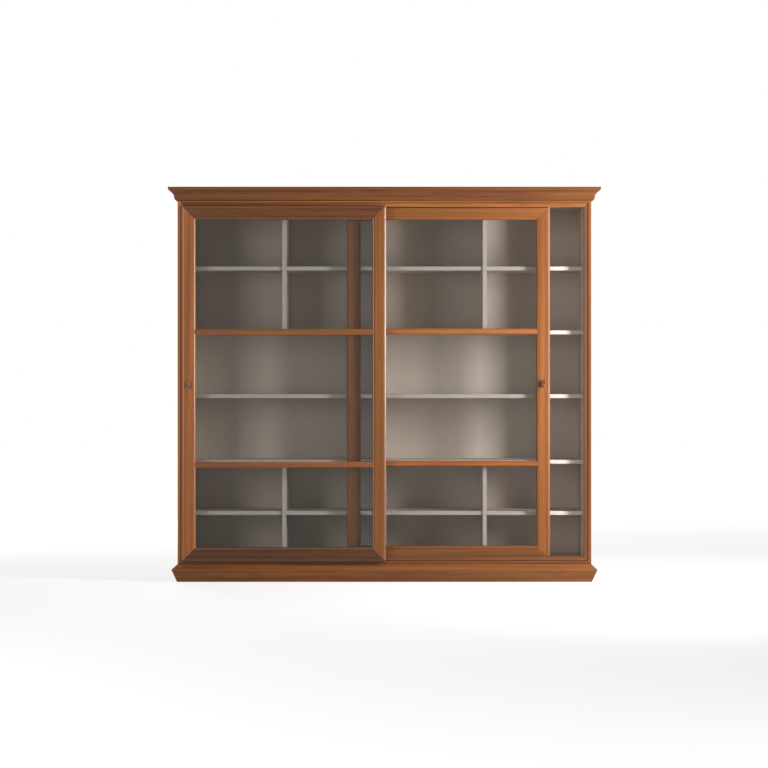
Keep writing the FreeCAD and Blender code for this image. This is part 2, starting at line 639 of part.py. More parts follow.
def glazing_bars(prefix, low_x, front, bottom, stiles):
    """At each of two levels a bevelled bar before the glass, scribed over the stiles' ovolo, and a
    flat one behind it."""
    depth = "(glass_setback - bar_setback)"
    half = "bar_face / 2"
    section = [corner(f"-{half}", "0"), corner(half, "0"), corner(half, "bar_edge"),
               corner(f"{half} - bar_bevel", depth), corner(f"-({half} - bar_bevel)", depth),
               corner(f"-{half}", "bar_edge")]
    glass_front = f"{front} + glass_setback"
    glass_back = f"{glass_front} + glass_thickness"
    door_back = f"{front} + door_thickness"
    start, end = f"{low_x} + door_face", f"{low_x} + {DOOR_WIDTH} - door_face"
    bars = []
    for level, rise in (("lower", "lower_bar_height"), ("upper", "upper_bar_height")):
        blank = doc.addObject("PartDesign::Body", f"{prefix}_{level}_bar_blank")
        pad(blank, sketch(blank, f"{prefix}_{level}_bar_section", "YZ_Plane", section),
            f"({end}) - ({start}) + 2 * sticking_width")
        put(blank, f"{start} - sticking_width", glass_front, f"{bottom} + {rise}", TURN["face_top"])
        scribed = doc.addObject("Part::Cut", f"{prefix}_{level}_bar")
        scribed.Base = blank
        scribed.Tool = group(f"{prefix}_{level}_bar_seats", stiles)
        bars.append(scribed)
        bars.append(box(f"{prefix}_{level}_bar_back",
                        (start, glass_back, f"{bottom} + {rise} - {half}"),
                        (end, door_back, f"{bottom} + {rise} + {half}")))
    return group(prefix + "_glazing_bars", bars)


def knob(name, x, front, z):
    """A small oblong pull: a neck and a bevelled plate on it."""
    body = doc.addObject("PartDesign::Body", name)
    neck = rounded_rectangle("knob_width - 2 * knob_neck", "knob_height - 2 * knob_neck",
                             "knob_corner / 2")
    pad(body, sketch(body, name + "_neck", "XY_Plane", neck), "knob_depth - knob_plate / 2")
    plate = rounded_rectangle("knob_width", "knob_height", "knob_corner")
    feature = pad(body, sketch(body, name + "_plate", "XY_Plane", plate,
                               offset="knob_depth - knob_plate"), "knob_plate")
    faces = [index for index, face in enumerate(feature.Shape.Faces, start=1)
             if abs(face.CenterOfMass.z - amount("knob_depth")) < Part.Precision.confusion()]
    bevel = body.newObject("PartDesign::Chamfer", name + "_bevel")
    bevel.Base = (feature, [f"Face{faces[0]}"])
    bevel.setExpression("Size", in_sheet("knob_bevel"))
    doc.recompute()
    return put(body, x, front, z, TURN["face_top"])


def roller(name, x, y, z):
    """A grooved wheel with its bore, turned about Y."""
    body = doc.addObject("PartDesign::Body", name)
    bore, root = "(axle_radius + axle_fit)", "(wheel_radius - wheel_groove)"
    half, land = "wheel_width / 2", "wheel_land / 2"
    section = [corner(f"-{half}", bore), corner(half, bore), corner(half, "wheel_radius"),
               corner(f"{half} - (wheel_width - wheel_land) / 2 + wheel_flare / 2", "wheel_radius"),
               corner(land, root), corner(f"-{land}", root),
               corner(f"-({half} - (wheel_width - wheel_land) / 2 + wheel_flare / 2)", "wheel_radius"),
               corner(f"-{half}", "wheel_radius")]
    plan = sketch(body, name + "_section", "XY_Plane", section)
    turned = body.newObject("PartDesign::Revolution", name + "_turned")
    turned.Profile = plan
    turned.ReferenceAxis = (plan, ["H_Axis"])
    turned.Angle = 360
    doc.recompute()
    return put(body, x, y, z, Rotation(Vector(0, 0, 1), 90))


AXLE_RISE = "track_height + running_gap + wheel_radius - wheel_groove"
TOWARDS_BACK = Rotation(Vector(1, 0, 0), -90)
FRONT_DOOR_FRONT = f"{FRONT} - door_gap - door_thickness"
FRONT_DOOR_BACK = f"{FRONT} - door_gap"
FRONT_AXLE = f"{OPENING_BOTTOM} + {AXLE_RISE}"
REAR_AXLE = f"plinth_height + {AXLE_RISE}"
CHANNEL_BOTTOM = f"{REAR_DOOR_HEAD} + guide_clear"


def back_plate(name, x, z):
    """A round-cornered plate on the back of the front door."""
    plate = doc.addObject("PartDesign::Body", name)
    outline = rounded_rectangle("plate_width", "plate_height", "plate_round")
    pad(plate, sketch(plate, name + "_outline", "XY_Plane", outline), "plate_thickness")
    return put(plate, x, f"{FRONT_DOOR_BACK} + plate_thickness", z, TURN["face_top"])


def fused(name, pieces):
    """Pieces welded into one."""
    whole = doc.addObject("Part::MultiFuse", name)
    whole.Shapes = pieces
    return whole


def front_bracket(name, x):
    """Plate on the door's back with the stub axle that the roller turns on."""
    wheel_front = f"{FRONT_TRACK_LINE} - wheel_width / 2"
    plate = back_plate(name + "_plate", x, FRONT_AXLE)
    shoulder = cylinder(name + "_shoulder", "hub_radius",
                        f"({wheel_front}) - running_gap - ({FRONT_DOOR_BACK})",
                        x, FRONT_DOOR_BACK, FRONT_AXLE, TOWARDS_BACK)
    axle = cylinder(name + "_axle", "axle_radius",
                    f"({wheel_front}) + wheel_width + running_gap + axle_head - ({FRONT_DOOR_BACK})",
                    x, FRONT_DOOR_BACK, FRONT_AXLE, TOWARDS_BACK)
    head = cylinder(name + "_head", "axle_radius + axle_lip", "axle_head", x,
                    f"({wheel_front}) + wheel_width + running_gap", FRONT_AXLE, TOWARDS_BACK)
    return fused(name, [plate, shoulder, axle, head])


def front_guide(name, x):
    """Plate and arm on the door's back, with the nylon pin that runs in the frame's groove."""
    arm_top = f"{OPENING_TOP} - guide_clear"
    plate = back_plate(name + "_plate", x, f"{arm_top} - plate_height / 2")
    arm = box(name + "_arm", (f"{x} - plate_width / 4", FRONT_DOOR_BACK, f"{arm_top} - guide_arm"),
              (f"{x} + plate_width / 4", f"{FRONT_TRACK_LINE} + guide_radius", arm_top))
    pin = cylinder(name + "_pin", "guide_radius", "guide_clear + guide_engage", x,
                   FRONT_TRACK_LINE, arm_top)
    return fused(name, [plate, arm, pin])


def rear_housing(name, x):
    """Steel housing let into the door's foot, open below, with the axle through its cheeks."""
    inner = "(wheel_width / 2 + cheek_gap)"
    outer = f"({inner} + plate_thickness)"
    low = f"{REAR_AXLE} - hub_radius"
    high = f"{REAR_DOOR_FOOT} + mortise_depth"
    half = "plate_width / 2"
    block = box(name + "_block", (f"{x} - {half}", f"{REAR_TRACK_LINE} - {outer}", low),
                (f"{x} + {half}", f"{REAR_TRACK_LINE} + {outer}", high))
    room = box(name + "_room", (f"{x} - {half} + plate_thickness", f"{REAR_TRACK_LINE} - {inner}", low),
               (f"{x} + {half} - plate_thickness", f"{REAR_TRACK_LINE} + {inner}",
                f"{high} - plate_thickness"))
    shell = doc.addObject("Part::Cut", name + "_shell")
    shell.Base = block
    shell.Tool = room
    axle = cylinder(name + "_axle", "axle_radius", f"2 * {outer}", x,
                    f"{REAR_TRACK_LINE} - {outer}", REAR_AXLE, TOWARDS_BACK)
    return fused(name, [shell, axle])


def rear_guide(name, x):
    """Plate on the door's head with the nylon pin that runs in the head channel."""
    top = REAR_DOOR_HEAD
    half, deep = "plate_width / 2", "guide_plate_depth / 2"
    plate = box(name + "_plate", (f"{x} - {half}", f"{REAR_TRACK_LINE} - {deep}", top),
                (f"{x} + {half}", f"{REAR_TRACK_LINE} + {deep}", f"{top} + plate_thickness"))
    pin = cylinder(name + "_pin", "guide_radius", "guide_clear + guide_engage", x, REAR_TRACK_LINE,
                   top)
    return fused(name, [plate, pin])


def cut_mortises(rail):
    """Mortises in the foot of the rear door for its two roller housings."""
    across = "(wheel_width / 2 + cheek_gap + plate_thickness + mortise_fit)"
    along = "(plate_width / 2 + mortise_fit)"
    for end, middle in (("right", "wheel_inset"), ("left", f"{DOOR_WIDTH} - wheel_inset")):
        mouth = rectangle(f"{middle} - {along}", f"-(door_thickness / 2 + {across})",
                          f"{middle} + {along}", f"-(door_thickness / 2 - {across})")
        plan = sketch(rail, f"{rail.Name}_{end}_mortise", "XZ_Plane", mouth)
        pocket(rail, plan, "mortise_depth", reverse=True)


def build_door(prefix, low_x, front, bottom, knob_x, axle_y, axle_z, make_bracket, make_guide):
    """One glazed door with its knob, rollers, brackets and guides."""
    members = four_members(prefix, door_section(), {}, DOOR_WIDTH, DOOR_HEIGHT, "door_face",
                           low_x, front, bottom)
    edge = "(door_face - glass_groove + glass_play)"
    keep(box(prefix + "_glass", (f"{low_x} + {edge}", f"{front} + glass_setback", f"{bottom} + {edge}"),
             (f"{low_x} + {DOOR_WIDTH} - {edge}", f"{front} + glass_setback + glass_thickness",
              f"{bottom} + {DOOR_HEIGHT} - {edge}")), prefix + "_glass")
    keep(glazing_bars(prefix, low_x, front, bottom, [members["stile_left"], members["stile_right"]]),
         prefix + "_glazing_bars")
    keep(knob(prefix + "_knob", knob_x, front, f"{bottom} + knob_rise"), prefix + "_knob")
    brackets, guides = [], []
    for side, start, way in (("left", low_x, "+"), ("right", f"{low_x} + {DOOR_WIDTH}", "-")):
        wheel_x = f"{start} {way} wheel_inset"
        name = f"{prefix}_roller_{side}"
        keep(roller(name, wheel_x, axle_y, axle_z), name)
        brackets.append(make_bracket(f"{prefix}_bracket_{side}", wheel_x))
        guides.append(make_guide(f"{prefix}_guide_{side}", f"{start} {way} guide_inset"))
    keep(group(prefix + "_roller_brackets", brackets), prefix + "_roller_brackets")
    keep(group(prefix + "_guides", guides), prefix + "_guides")
    return members


def build_doors():
    """The front door at its left stop, the rear door a little way open."""
    front_low = f"-({SHUT_EDGE})"
    build_door("front_door", front_low, FRONT_DOOR_FRONT, FRONT_DOOR_FOOT,
               f"{front_low} + door_face / 2", FRONT_TRACK_LINE, FRONT_AXLE,
               front_bracket, front_guide)
    rear_low = f"{SHUT_EDGE} - {DOOR_WIDTH} - rear_door_open"
    rear = build_door("rear_door", rear_low, REAR_DOOR_FRONT, REAR_DOOR_FOOT,
                      f"{rear_low} + {DOOR_WIDTH} - door_face / 2", REAR_TRACK_LINE, REAR_AXLE,
                      rear_housing, rear_guide)
    cut_mortises(rear["rail_bottom"])


build_plinth()
build_case()
build_compartments()
build_face_frame()
build_cornice()
build_tracks()
build_doors()
doc.recompute()

for thing in doc.Objects:
    if {"Invalid", "Error"} & set(thing.State):
        raise ValueError(f"{thing.Label} failed: {thing.State}")
for thing in subparts:
    if thing.Shape.isNull() or not thing.Shape.isValid():
        raise ValueError(f"{thing.Label} has no valid shape")

os.makedirs("parts", exist_ok=True)
for thing in subparts:
    thing.Shape.exportStep(f"parts/{thing.Label}.step")
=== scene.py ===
"""A bookcase with two glazed sliding doors: its finishes, eased edges and small fixings."""
import json
import math

import bmesh
import bpy
from bpy.props import FloatProperty, FloatVectorProperty, IntProperty, PointerProperty
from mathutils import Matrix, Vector
from mathutils.bvhtree import BVHTree


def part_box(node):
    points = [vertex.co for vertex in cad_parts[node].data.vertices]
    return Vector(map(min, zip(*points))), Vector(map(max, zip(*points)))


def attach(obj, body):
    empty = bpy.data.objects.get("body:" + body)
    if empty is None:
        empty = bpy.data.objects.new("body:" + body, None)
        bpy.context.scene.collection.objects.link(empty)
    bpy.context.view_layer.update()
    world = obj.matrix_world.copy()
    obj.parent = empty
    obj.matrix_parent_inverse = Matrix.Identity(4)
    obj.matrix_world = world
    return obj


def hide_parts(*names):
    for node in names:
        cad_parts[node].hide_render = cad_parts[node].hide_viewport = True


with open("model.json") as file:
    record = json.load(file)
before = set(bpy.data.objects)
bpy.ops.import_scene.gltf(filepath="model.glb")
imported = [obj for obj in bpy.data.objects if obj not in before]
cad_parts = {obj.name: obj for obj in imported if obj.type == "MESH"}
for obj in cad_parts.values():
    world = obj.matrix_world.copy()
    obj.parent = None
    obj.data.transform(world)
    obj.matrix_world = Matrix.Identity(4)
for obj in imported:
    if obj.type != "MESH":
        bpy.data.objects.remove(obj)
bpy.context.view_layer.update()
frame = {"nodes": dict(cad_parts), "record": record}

bl_info = {
    "name": "Bookcase with sliding doors",
    "version": (1, 0, 0),
    "blender": (4, 5, 0),
    "location": "View3D > Sidebar > Bookcase",
    "description": "Finishes the bookcase's boards, mouldings, doors and fittings",
    "category": "Object",
}

BODY_OF = {node: body for body, nodes in frame["record"]["behaviour"]["bodies"].items()
           for node in nodes}
NODE_ORDER = sorted(frame["nodes"])
SIDES = ("left", "right")
ENDS = ("top", "bottom")
DOORS = ("front_door", "rear_door")
FIXED_SHELVES = ("lower_fixed_shelf", "upper_fixed_shelf")
LOOSE_SHELVES = ("lower_shelves", "middle_shelf", "upper_shelves")
MM = 0.001


def display(red, green, blue):
    """A colour given as 0 to 255 on a display, as linear light."""
    def light(step):
        level = step / 255
        return level / 12.92 if level <= 0.04045 else ((level + 0.055) / 1.055) ** 2.4
    return light(red), light(green), light(blue)


def colour(name, shade, description):
    """A colour that a user may change."""
    return FloatVectorProperty(name=name, description=description, default=display(*shade),
                               subtype="COLOR", size=3, min=0, max=1)


def length(name, millimetres, description):
    """A size that a user may change."""
    return FloatProperty(name=name, description=description, default=millimetres * MM,
                         unit="LENGTH", min=0, precision=5)


def share(name, default, description, high=2.0):
    """A plain proportion that a user may change."""
    return FloatProperty(name=name, description=description, default=default,
                         subtype="FACTOR", min=0, max=high)


def distance(name, metres, description):
    """A distance in the room that a user may change."""
    return FloatProperty(name=name, description=description, default=metres, unit="LENGTH")


def power(name, watts, description):
    """A lamp's power that a user may change."""
    return FloatProperty(name=name, description=description, default=watts, unit="POWER")


def spot(name, metres, description):
    """A place in the room that a user may change."""
    return FloatVectorProperty(name=name, description=description, default=metres,
                               subtype="TRANSLATION")


def extent(name, metres, description):
    """A width and height that a user may change."""
    return FloatVectorProperty(name=name, description=description, default=metres, size=2,
                               unit="LENGTH")


# ---- sizes and colours ---------------------------------------------------------------------------

class BookcaseWood(bpy.types.PropertyGroup):
    """The cherry wood of the case and doors."""
    pale: colour("Pale wood", (198, 126, 67), "Early wood of each growth ring")
    warm: colour("Warm wood", (175, 103, 52), "Main colour of the stained cherry")
    deep: colour("Deep wood", (112, 55, 26), "Late wood, pores and gum streaks")
    # This dark colour is partly stain in the quirks and partly painted shade, both in quirks and where
    # the door rails run under the frame.
    glaze_and_shade: colour("Glaze", (42, 19, 9), "Stain that gathers in the quirks of the mouldings")
    ring: length("Ring spacing", 9, "Distance between growth rings")
    arris: length("Arris", 0.6, "Rounding sanded on the edges of the mouldings")
    quirk_reach: length("Quirk reach", 9, "How far from a corner the glaze gathers")
    # Each piece's stain below is partly the real difference between boards and partly painted light and
    # shade: pieces that catch more light, such as the frame's left stile, are paler, and pieces in
    # shade, such as the cornice and the door rails, darker.
    cornice_tone: share("Cornice", 0.41, "Stain on the cornice")
    plinth_tone: share("Plinth", 0.54, "Stain on the plinth")
    frame_tone: share("Face frame", 0.46, "Stain on the frame's right stile")
    frame_head_tone: share("Face frame, head", 0.7, "Stain on the frame's top rail")
    frame_left_tone: share("Face frame, left", 1.35, "Stain on the frame's left stile")
    frame_foot_tone: share("Face frame, foot", 0.34, "Stain on the frame's bottom rail")
    side_tone: share("Sides", 0.7, "Stain on the outer panels")
    front_stile_tone: share("Front door knob stile", 0.87, "Stain on the front door's left upright")
    front_meeting_tone: share("Front door meeting stile", 0.56, "Stain on its right upright")
    front_rail_tone: share("Front door top rail", 0.32, "Stain on the front door's top rail")
    front_foot_tone: share("Front door bottom rail", 0.2, "Stain on its bottom rail")
    front_bar_tone: share("Front door bars", 0.63, "Stain on the front door's glazing bars")
    rear_stile_tone: share("Rear door knob stile", 0.64, "Stain on the rear door's right upright")
    rear_meeting_tone: share("Rear door meeting stile", 0.66, "Stain on its left upright")
    rear_rail_tone: share("Rear door top rail", 0.58, "Stain on the rear door's top rail")
    rear_foot_tone: share("Rear door bottom rail", 0.44, "Stain on its bottom rail")
    rear_bar_tone: share("Rear door bars", 0.75, "Stain on the rear door's glazing bars")
    lacquer: share("Lacquer", 0.3, "Clear coat on the flat faces, rubbed to satin", 1.0)
    polish: share("Polish", 0.35, "Clear coat on the case's mouldings, left bright", 1.0)
    front_polish: share("Front door polish", 1.0, "Clear coat on the front door's bevels", 1.0)
    rear_polish: share("Rear door polish", 0.16, "Clear coat on the rear door's bevels", 1.0)


class BookcaseInterior(bpy.types.PropertyGroup):
    """The lacquered compartments and the plain boards out of sight."""
    lacquer: colour("Lacquer", (207, 193, 182), "Boards inside the case")
    banding: colour("Edge banding", (222, 208, 200), "Front edges of shelves and dividers")
    plain: colour("Plain board", (186, 152, 112), "Chipboard that nobody sees")
    hardboard: colour("Hardboard", (138, 108, 82), "Wall side of the back panels")
    arris: length("Board arris", 0.6, "Rounding on the edges of the boards")


class BookcaseFittings(bpy.types.PropertyGroup):
    """Glass, knobs, tracks, rollers and small fixings."""
    glass_tint: colour("Glass tint", (237, 238, 237), "Colour that one face of the glass lets through")
    glass_shine: share("Glass shine", 0.014, "Share of light that one face of the glass mirrors", 1.0)
    bronze: colour("Knob bronze", (94, 69, 55), "Burnished metal of the knobs")
    worn_bronze: colour("Worn bronze", (150, 124, 96), "Patches of the knobs rubbed by hands")
    track: colour("Track bronze", (112, 94, 78), "Anodised tracks and head channel")
    steel: colour("Zinc-plated steel", (176, 178, 180), "Brackets, screws and shelf pins")
    nylon: colour("Nylon", (222, 218, 206), "Rollers and guide pins")
    rubber: colour("Rubber", (42, 41, 40), "Door stops")
    # The hole colour is painted shade: a dark disc standing for the shaded depth of each pin hole.
    hole: colour("Hole", (38, 34, 30), "Inside of an empty pin hole")
    metal_arris: length("Metal arris", 0.25, "Rounding on the edges of steel and aluminium")
    knob_arris: length("Knob arris", 0.8, "Rounding on the edges of the knobs")
    rubber_arris: length("Rubber arris", 0.75, "Rounding on the edges of the door stops")
    pin_collar: length("Pin collar", 3.6, "Radius of a shelf pin's collar")
    pin_collar_thickness: length("Pin collar thickness", 0.8, "Thickness of that collar")
    pin_nose: length("Pin nose", 1.2, "Tapered tip of a shelf pin")
    hole_pitch: length("Hole pitch", 32, "Distance between the pin holes of a row")
    holes_each_way: IntProperty(name="Holes each way", default=3, min=0, max=8,
                                description="Spare pin holes above and below each shelf pin")
    sleeve: length("Sleeve", 3.1, "Outer radius of the ring round a pin hole")
    sleeve_wire: length("Sleeve wire", 0.35, "Half the thickness of that ring")
    screw_head: length("Screw head", 3.4, "Radius of the screw heads")
    screw_height: length("Screw height", 0.9, "Screw head above the surface")
    screw_slot: length("Screw slot", 0.8, "Width of the cross in a screw head")
    back_screw_pitch: length("Back screw pitch", 210, "Distance between the screws of the backs")
    back_screw_inset: length("Back screw inset", 10, "Screws in from the edge of a back panel")
    plate: length("Plate", 2, "Thickness of the roller brackets' and guides' plates")
    plate_screw_inset: length("Plate screw inset", 8, "Screws in from the edges of a plate")
    bearing: length("Bearing", 7.5, "Outer radius of the steel bearing in a roller")
    web_depth: length("Web recess", 0.9, "Recess in each side of a roller")
    rim: length("Rim", 2.2, "Width of a roller's rim beside the recess")


class BookcaseStage(bpy.types.PropertyGroup):
    """Floor, lamps and camera."""
    camera_x: distance("Camera X", -0.0025, "Camera sideways of the case's middle")
    camera_distance: distance("Camera distance", 13.8, "Camera in front of the case's middle")
    camera_height: distance("Camera height", 1.1085, "Camera above the floor")
    lens: FloatProperty(name="Lens", default=113.8, unit="CAMERA",
                        description="Focal length on a 36 mm sensor")
    key_power: power("Key lamp", 150, "Tall soft lamp to the front right")
    key_place: spot("Key lamp place", (2.9, -1.7, 1.6), "Where the key lamp stands")
    key_size: extent("Key lamp size", (0.6, 1.5), "Width and height of the key lamp")
    fill_power: power("Fill lamp", 135, "Larger lamp to the front left, further off")
    fill_place: spot("Fill lamp place", (-4.4, -5.8, 1.7), "Where the fill lamp hangs")
    fill_size: extent("Fill lamp size", (2.0, 3.0), "Width and height of the fill lamp")
    back_power: power("Back lamp", 200, "Soft lamp behind the case")
    back_place: spot("Back lamp place", (-2.5, 5.5, 3.4), "Where the back lamp hangs")
    back_size: extent("Back lamp size", (3.0, 3.0), "Width and height of the back lamp")
    lamp_target: spot("Lamp target", (0.1, -0.2, 1.1), "What every lamp faces")
    ambient: share("Ambient", 0.1, "Light from all round", 3.0)
    floor_size: distance("Floor", 60, "Side of the square floor")
    floor_shade: colour("Floor", (172, 171, 169), "Plain pale floor")
    floor_glow: share("Floor glow", 0.72, "How much of the floor's white is its own", 1.0)


# ---- shader nodes --------------------------------------------------------------------------------

class Wire:
    """An output socket that takes part in sums."""

    def __init__(self, finish, socket):
        self.finish = finish
        self.socket = socket

    def __add__(self, other):
        return self.finish.maths("ADD", self, other)

    def __sub__(self, other):
        return self.finish.maths("SUBTRACT", self, other)

    def __rsub__(self, other):
        return self.finish.maths("SUBTRACT", other, self)

    def __mul__(self, other):
        return self.finish.maths("MULTIPLY", self, other)

    def __pow__(self, other):
        return self.finish.maths("POWER", self, other)

    __radd__ = __add__
    __rmul__ = __mul__


class Finish:
    """One material while its nodes are built."""

    def __init__(self, name, world=None):
        self.owner = world or bpy.data.materials.new(name)
        self.owner.use_nodes = True
        self.tree = self.owner.node_tree
        self.tree.nodes.clear()

    def node(self, kind, settings=None, sockets=None, output=0):
        """Add a node: its settings first, then the values or links of its sockets."""
        made = self.tree.nodes.new(kind)
        for name, value in (settings or {}).items():
            setattr(made, name, value)
        for name, value in (sockets or {}).items():
            if isinstance(value, Wire):
                self.tree.links.new(value.socket, made.inputs[name])
            else:
                made.inputs[name].default_value = value
        return Wire(self, made.outputs[output]) if made.outputs else made

    def maths(self, operation, first, second=0.0, clamp=False):
        """A Math node on wires or numbers."""
        return self.node("ShaderNodeMath", {"operation": operation, "use_clamp": clamp},
                         {0: first, 1: second})

    def within(self, wire, low, high):
        """The wire's stretch from low to high, eased onto 0 to 1."""
        return self.node("ShaderNodeMapRange", {"interpolation_type": "SMOOTHSTEP"},
                         {"Value": wire, "From Min": low, "From Max": high})

    def mixed(self, factor, first, second, mode="MIX"):
        """Two colours mixed."""
        return self.node("ShaderNodeMix", {"data_type": "RGBA", "blend_type": mode},
                         {0: factor, 6: rgba(first), 7: rgba(second)}, output=2)

    def noise(self, place, scale, detail=2.0, roughness=0.5):
        """Soft random values about 0.5."""
        return self.node("ShaderNodeTexNoise", {},
                         {"Vector": place, "Scale": scale, "Detail": detail,
                          "Roughness": roughness})

    def point(self, x, y, z):
        """A place made of three wires."""
        return self.node("ShaderNodeCombineXYZ", {}, {0: x, 1: y, 2: z})

    def own_place(self):
        """The object's own coordinates."""
        return self.node("ShaderNodeTexCoord", output=3)

    def own_axes(self):
        """The object's own X, Y and Z."""
        place = self.own_place()
        return [self.node("ShaderNodeSeparateXYZ", {}, {0: place}, output=axis) for axis in range(3)]

    def bump(self, height, depth):
        """A normal raised by a height."""
        return self.node("ShaderNodeBump", {}, {"Height": height, "Distance": depth})

    def surface(self, **sockets):
        """A Principled surface to the output; names are written with underscores."""
        values = {name.replace("_", " "): value for name, value in sockets.items()}
        shader = self.node("ShaderNodeBsdfPrincipled", {}, values)
        return self.show(shader)

    def show(self, shader):
        """Connect a shader to the material's output."""
        self.node("ShaderNodeOutputMaterial", {}, {"Surface": shader})
        return self.owner


def rgba(value):
    """A colour as a socket takes it."""
    return value if isinstance(value, Wire) else (*value, 1)


def scaled(shade, level):
    """A colour made darker or paler."""
    return [value * level for value in shade]


def finish_once(name, build):
    """The bookcase's own material of that name, built the first time that it is asked for."""
    own = "bookcase_" + name
    return bpy.data.materials.get(own) or build(Finish(own))


def piece_value(finish, name):
    """A number stored on each piece's own mesh."""
    return finish.node("ShaderNodeAttribute", {"attribute_name": name}, output=2)


# ---- materials -----------------------------------------------------------------------------------

def cherry(along):
    """Stained and lacquered cherry with its grain along one axis."""
    look = bpy.context.scene.bookcase_wood

    def build(finish):
        board = piece_value(finish, "board")
        axes = finish.own_axes()
        grain = axes.pop("xyz".index(along)) + board * 3.7
        across, through = axes[0] + board * 0.61, axes[1] + board * 0.23

        def figure(lengthways, crossways, detail=2.0, roughness=0.5):
            """Noise drawn out along the grain; both scales are cells to the metre."""
            place = finish.point(grain * lengthways, across * crossways, through * crossways)
            return finish.noise(place, 1.0, detail, roughness)

        # Growth rings, bent by a slow warp and a quick wander.
        heart = finish.maths("SQRT", across * across + through * through)
        bent = heart + figure(1.1, 7, 3.0) * 0.05 + figure(5, 40) * 0.003
        ring = finish.maths("SINE", bent * (2 * math.pi / look.ring)) * 0.5 + 0.5

        # Broad drift and narrow bands of pale wood, then fibres, open pores and gum streaks.
        drift = finish.within(figure(0.55, 6), 0.3, 0.7)
        band = figure(0.9, 55, 3.0)
        fibre = figure(14, 620, 3.0, 0.65)
        pores = finish.within(figure(45, 1900, 1.0), 0.66, 0.74)
        streaks = finish.within(figure(2.3, 95, 1.0), 0.68, 0.78)

        shade = finish.mixed(drift * 0.6 + finish.within(band, 0.3, 0.7) * 0.4, look.warm, look.pale)
        for marks in (ring ** 3.0 * 0.24, finish.within(fibre, 0.38, 0.74) * 0.28,
                      pores * 0.35, streaks * 0.35):
            shade = finish.mixed(marks, shade, look.deep)
        # Each piece's stain, partly real and partly painted light and shade, scales the wood's colour.
        level = piece_value(finish, "tone") * (band * 0.9 + 0.55)
        shade = finish.mixed(1.0, shade, finish.point(level, level, level), "MULTIPLY")
        # The recess mask darkens the wood towards the dark colour and takes its coat off: partly stain,
        # partly painted shade in quirks and gaps.
        recess = piece_value(finish, "recess")
        return finish.surface(
            Base_Color=finish.mixed(recess, shade, look.glaze_and_shade), Roughness=0.4 + fibre * 0.16,
            Specular_IOR_Level=0.15, Coat_Weight=piece_value(finish, "coat") * (1 - recess),
            Coat_Roughness=0.3, Normal=finish.bump((fibre - pores) * 0.5, 0.06 * MM))

    return finish_once("cherry_along_" + along, build)


def lacquer(name, shade, roughness):
    """Sprayed satin lacquer on board, with faint clouding, dust and orange peel."""
    def build(finish):
        place = finish.own_place()
        cloud = finish.noise(place, 3.5)
        dust = finish.noise(place, 160.0, 3.0)
        peel = finish.noise(place, 900.0, 1.0)
        tint = finish.mixed(finish.within(cloud, 0.3, 0.7) * 0.12, shade, scaled(shade, 0.82))
        tint = finish.mixed(finish.within(dust, 0.6, 0.75) * 0.06, tint, (0.9, 0.88, 0.85))
        return finish.surface(Base_Color=tint, Roughness=roughness + (dust - 0.5) * 0.2,
                              Normal=finish.bump(peel, 0.02 * MM))

    return finish_once(name, build)


def pressed_board(name, shade, grit):
    """Raw chipboard or hardboard: pressed chips of mixed colour."""
    def build(finish):
        place = finish.own_place()
        chips = finish.node("ShaderNodeTexVoronoi", {}, {"Vector": place, "Scale": grit}, output=1)
        chip = finish.node("ShaderNodeSeparateColor", {}, {0: chips})
        cloud = finish.noise(place, 6.0, 3.0)
        tint = finish.mixed(chip * 0.5, shade, scaled(shade, 0.55))
        tint = finish.mixed(finish.within(cloud, 0.35, 0.7) * 0.3, tint, scaled(shade, 1.25))
        return finish.surface(Base_Color=tint, Roughness=0.75 + chip * 0.15,
                              Normal=finish.bump(chip, 0.2 * MM))

    return finish_once(name, build)


def door_glass(fittings):
    """Clear glass, faintly smoked, that mirrors a little at each face."""
    def build(finish):
        clear = finish.node("ShaderNodeBsdfTransparent", {}, {"Color": rgba(fittings.glass_tint)})
        mirror = finish.node("ShaderNodeBsdfAnisotropic", {}, {"Color": (1, 1, 1, 1),
                                                               "Roughness": 0.03})
        slant = finish.node("ShaderNodeLayerWeight", {}, {"Blend": 0.5}, output=1)
        shine = fittings.glass_shine + slant ** 5.0 * 0.5
        return finish.show(finish.node("ShaderNodeMixShader", {}, {0: shine, 1: clear, 2: mirror}))

    return finish_once("door_glass", build)


def brushed(name, shade, along, roughness):
    """Metal with fine marks along one axis."""
    def build(finish):
        scales = [60.0 if axis == along else 2600.0 for axis in "xyz"]
        drawn = finish.point(*[part * scale for part, scale in zip(finish.own_axes(), scales)])
        marks = finish.noise(drawn, 1.0)
        cloud = finish.noise(finish.own_place(), 25.0, 3.0)
        tint = finish.mixed(finish.within(cloud, 0.35, 0.7) * 0.3, shade, scaled(shade, 0.7))
        return finish.surface(Base_Color=tint, Metallic=1.0, Roughness=roughness + (marks - 0.5) * 0.25,
                              Normal=finish.bump(marks, 0.02 * MM))

    return finish_once(name, build)


def burnished(fittings):
    """Dark patinated bronze, paler where hands have worn it."""
    def build(finish):
        place = finish.own_place()
        patina = finish.noise(place, 260.0, 4.0, 0.6)
        worn = finish.within(finish.noise(place, 70.0) + patina * 0.3, 0.62, 0.8)
        tint = finish.mixed(worn * 0.55, fittings.bronze, fittings.worn_bronze)
        return finish.surface(Base_Color=tint, Metallic=0.9, Roughness=0.3 + patina * 0.25,
                              Normal=finish.bump(patina, 0.06 * MM))

    return finish_once("knob_bronze", build)


def plastic(name, shade, roughness):
    """Plain moulded plastic or rubber with a fine spark finish."""
    def build(finish):
        place = finish.own_place()
        spark = finish.noise(place, 2400.0, 1.0)
        cloud = finish.noise(place, 90.0, 3.0)
        tint = finish.mixed(finish.within(cloud, 0.35, 0.75) * 0.25, shade, scaled(shade, 0.75))
        return finish.surface(Base_Color=tint, Roughness=roughness + (cloud - 0.5) * 0.15,
                              Normal=finish.bump(spark, 0.03 * MM))

    return finish_once(name, build)


def steel(fittings):
    """Bright zinc-plated steel."""
    return brushed("zinc_steel", fittings.steel, "z", 0.32)


# ---- pieces from the frame -----------------------------------------------------------------------

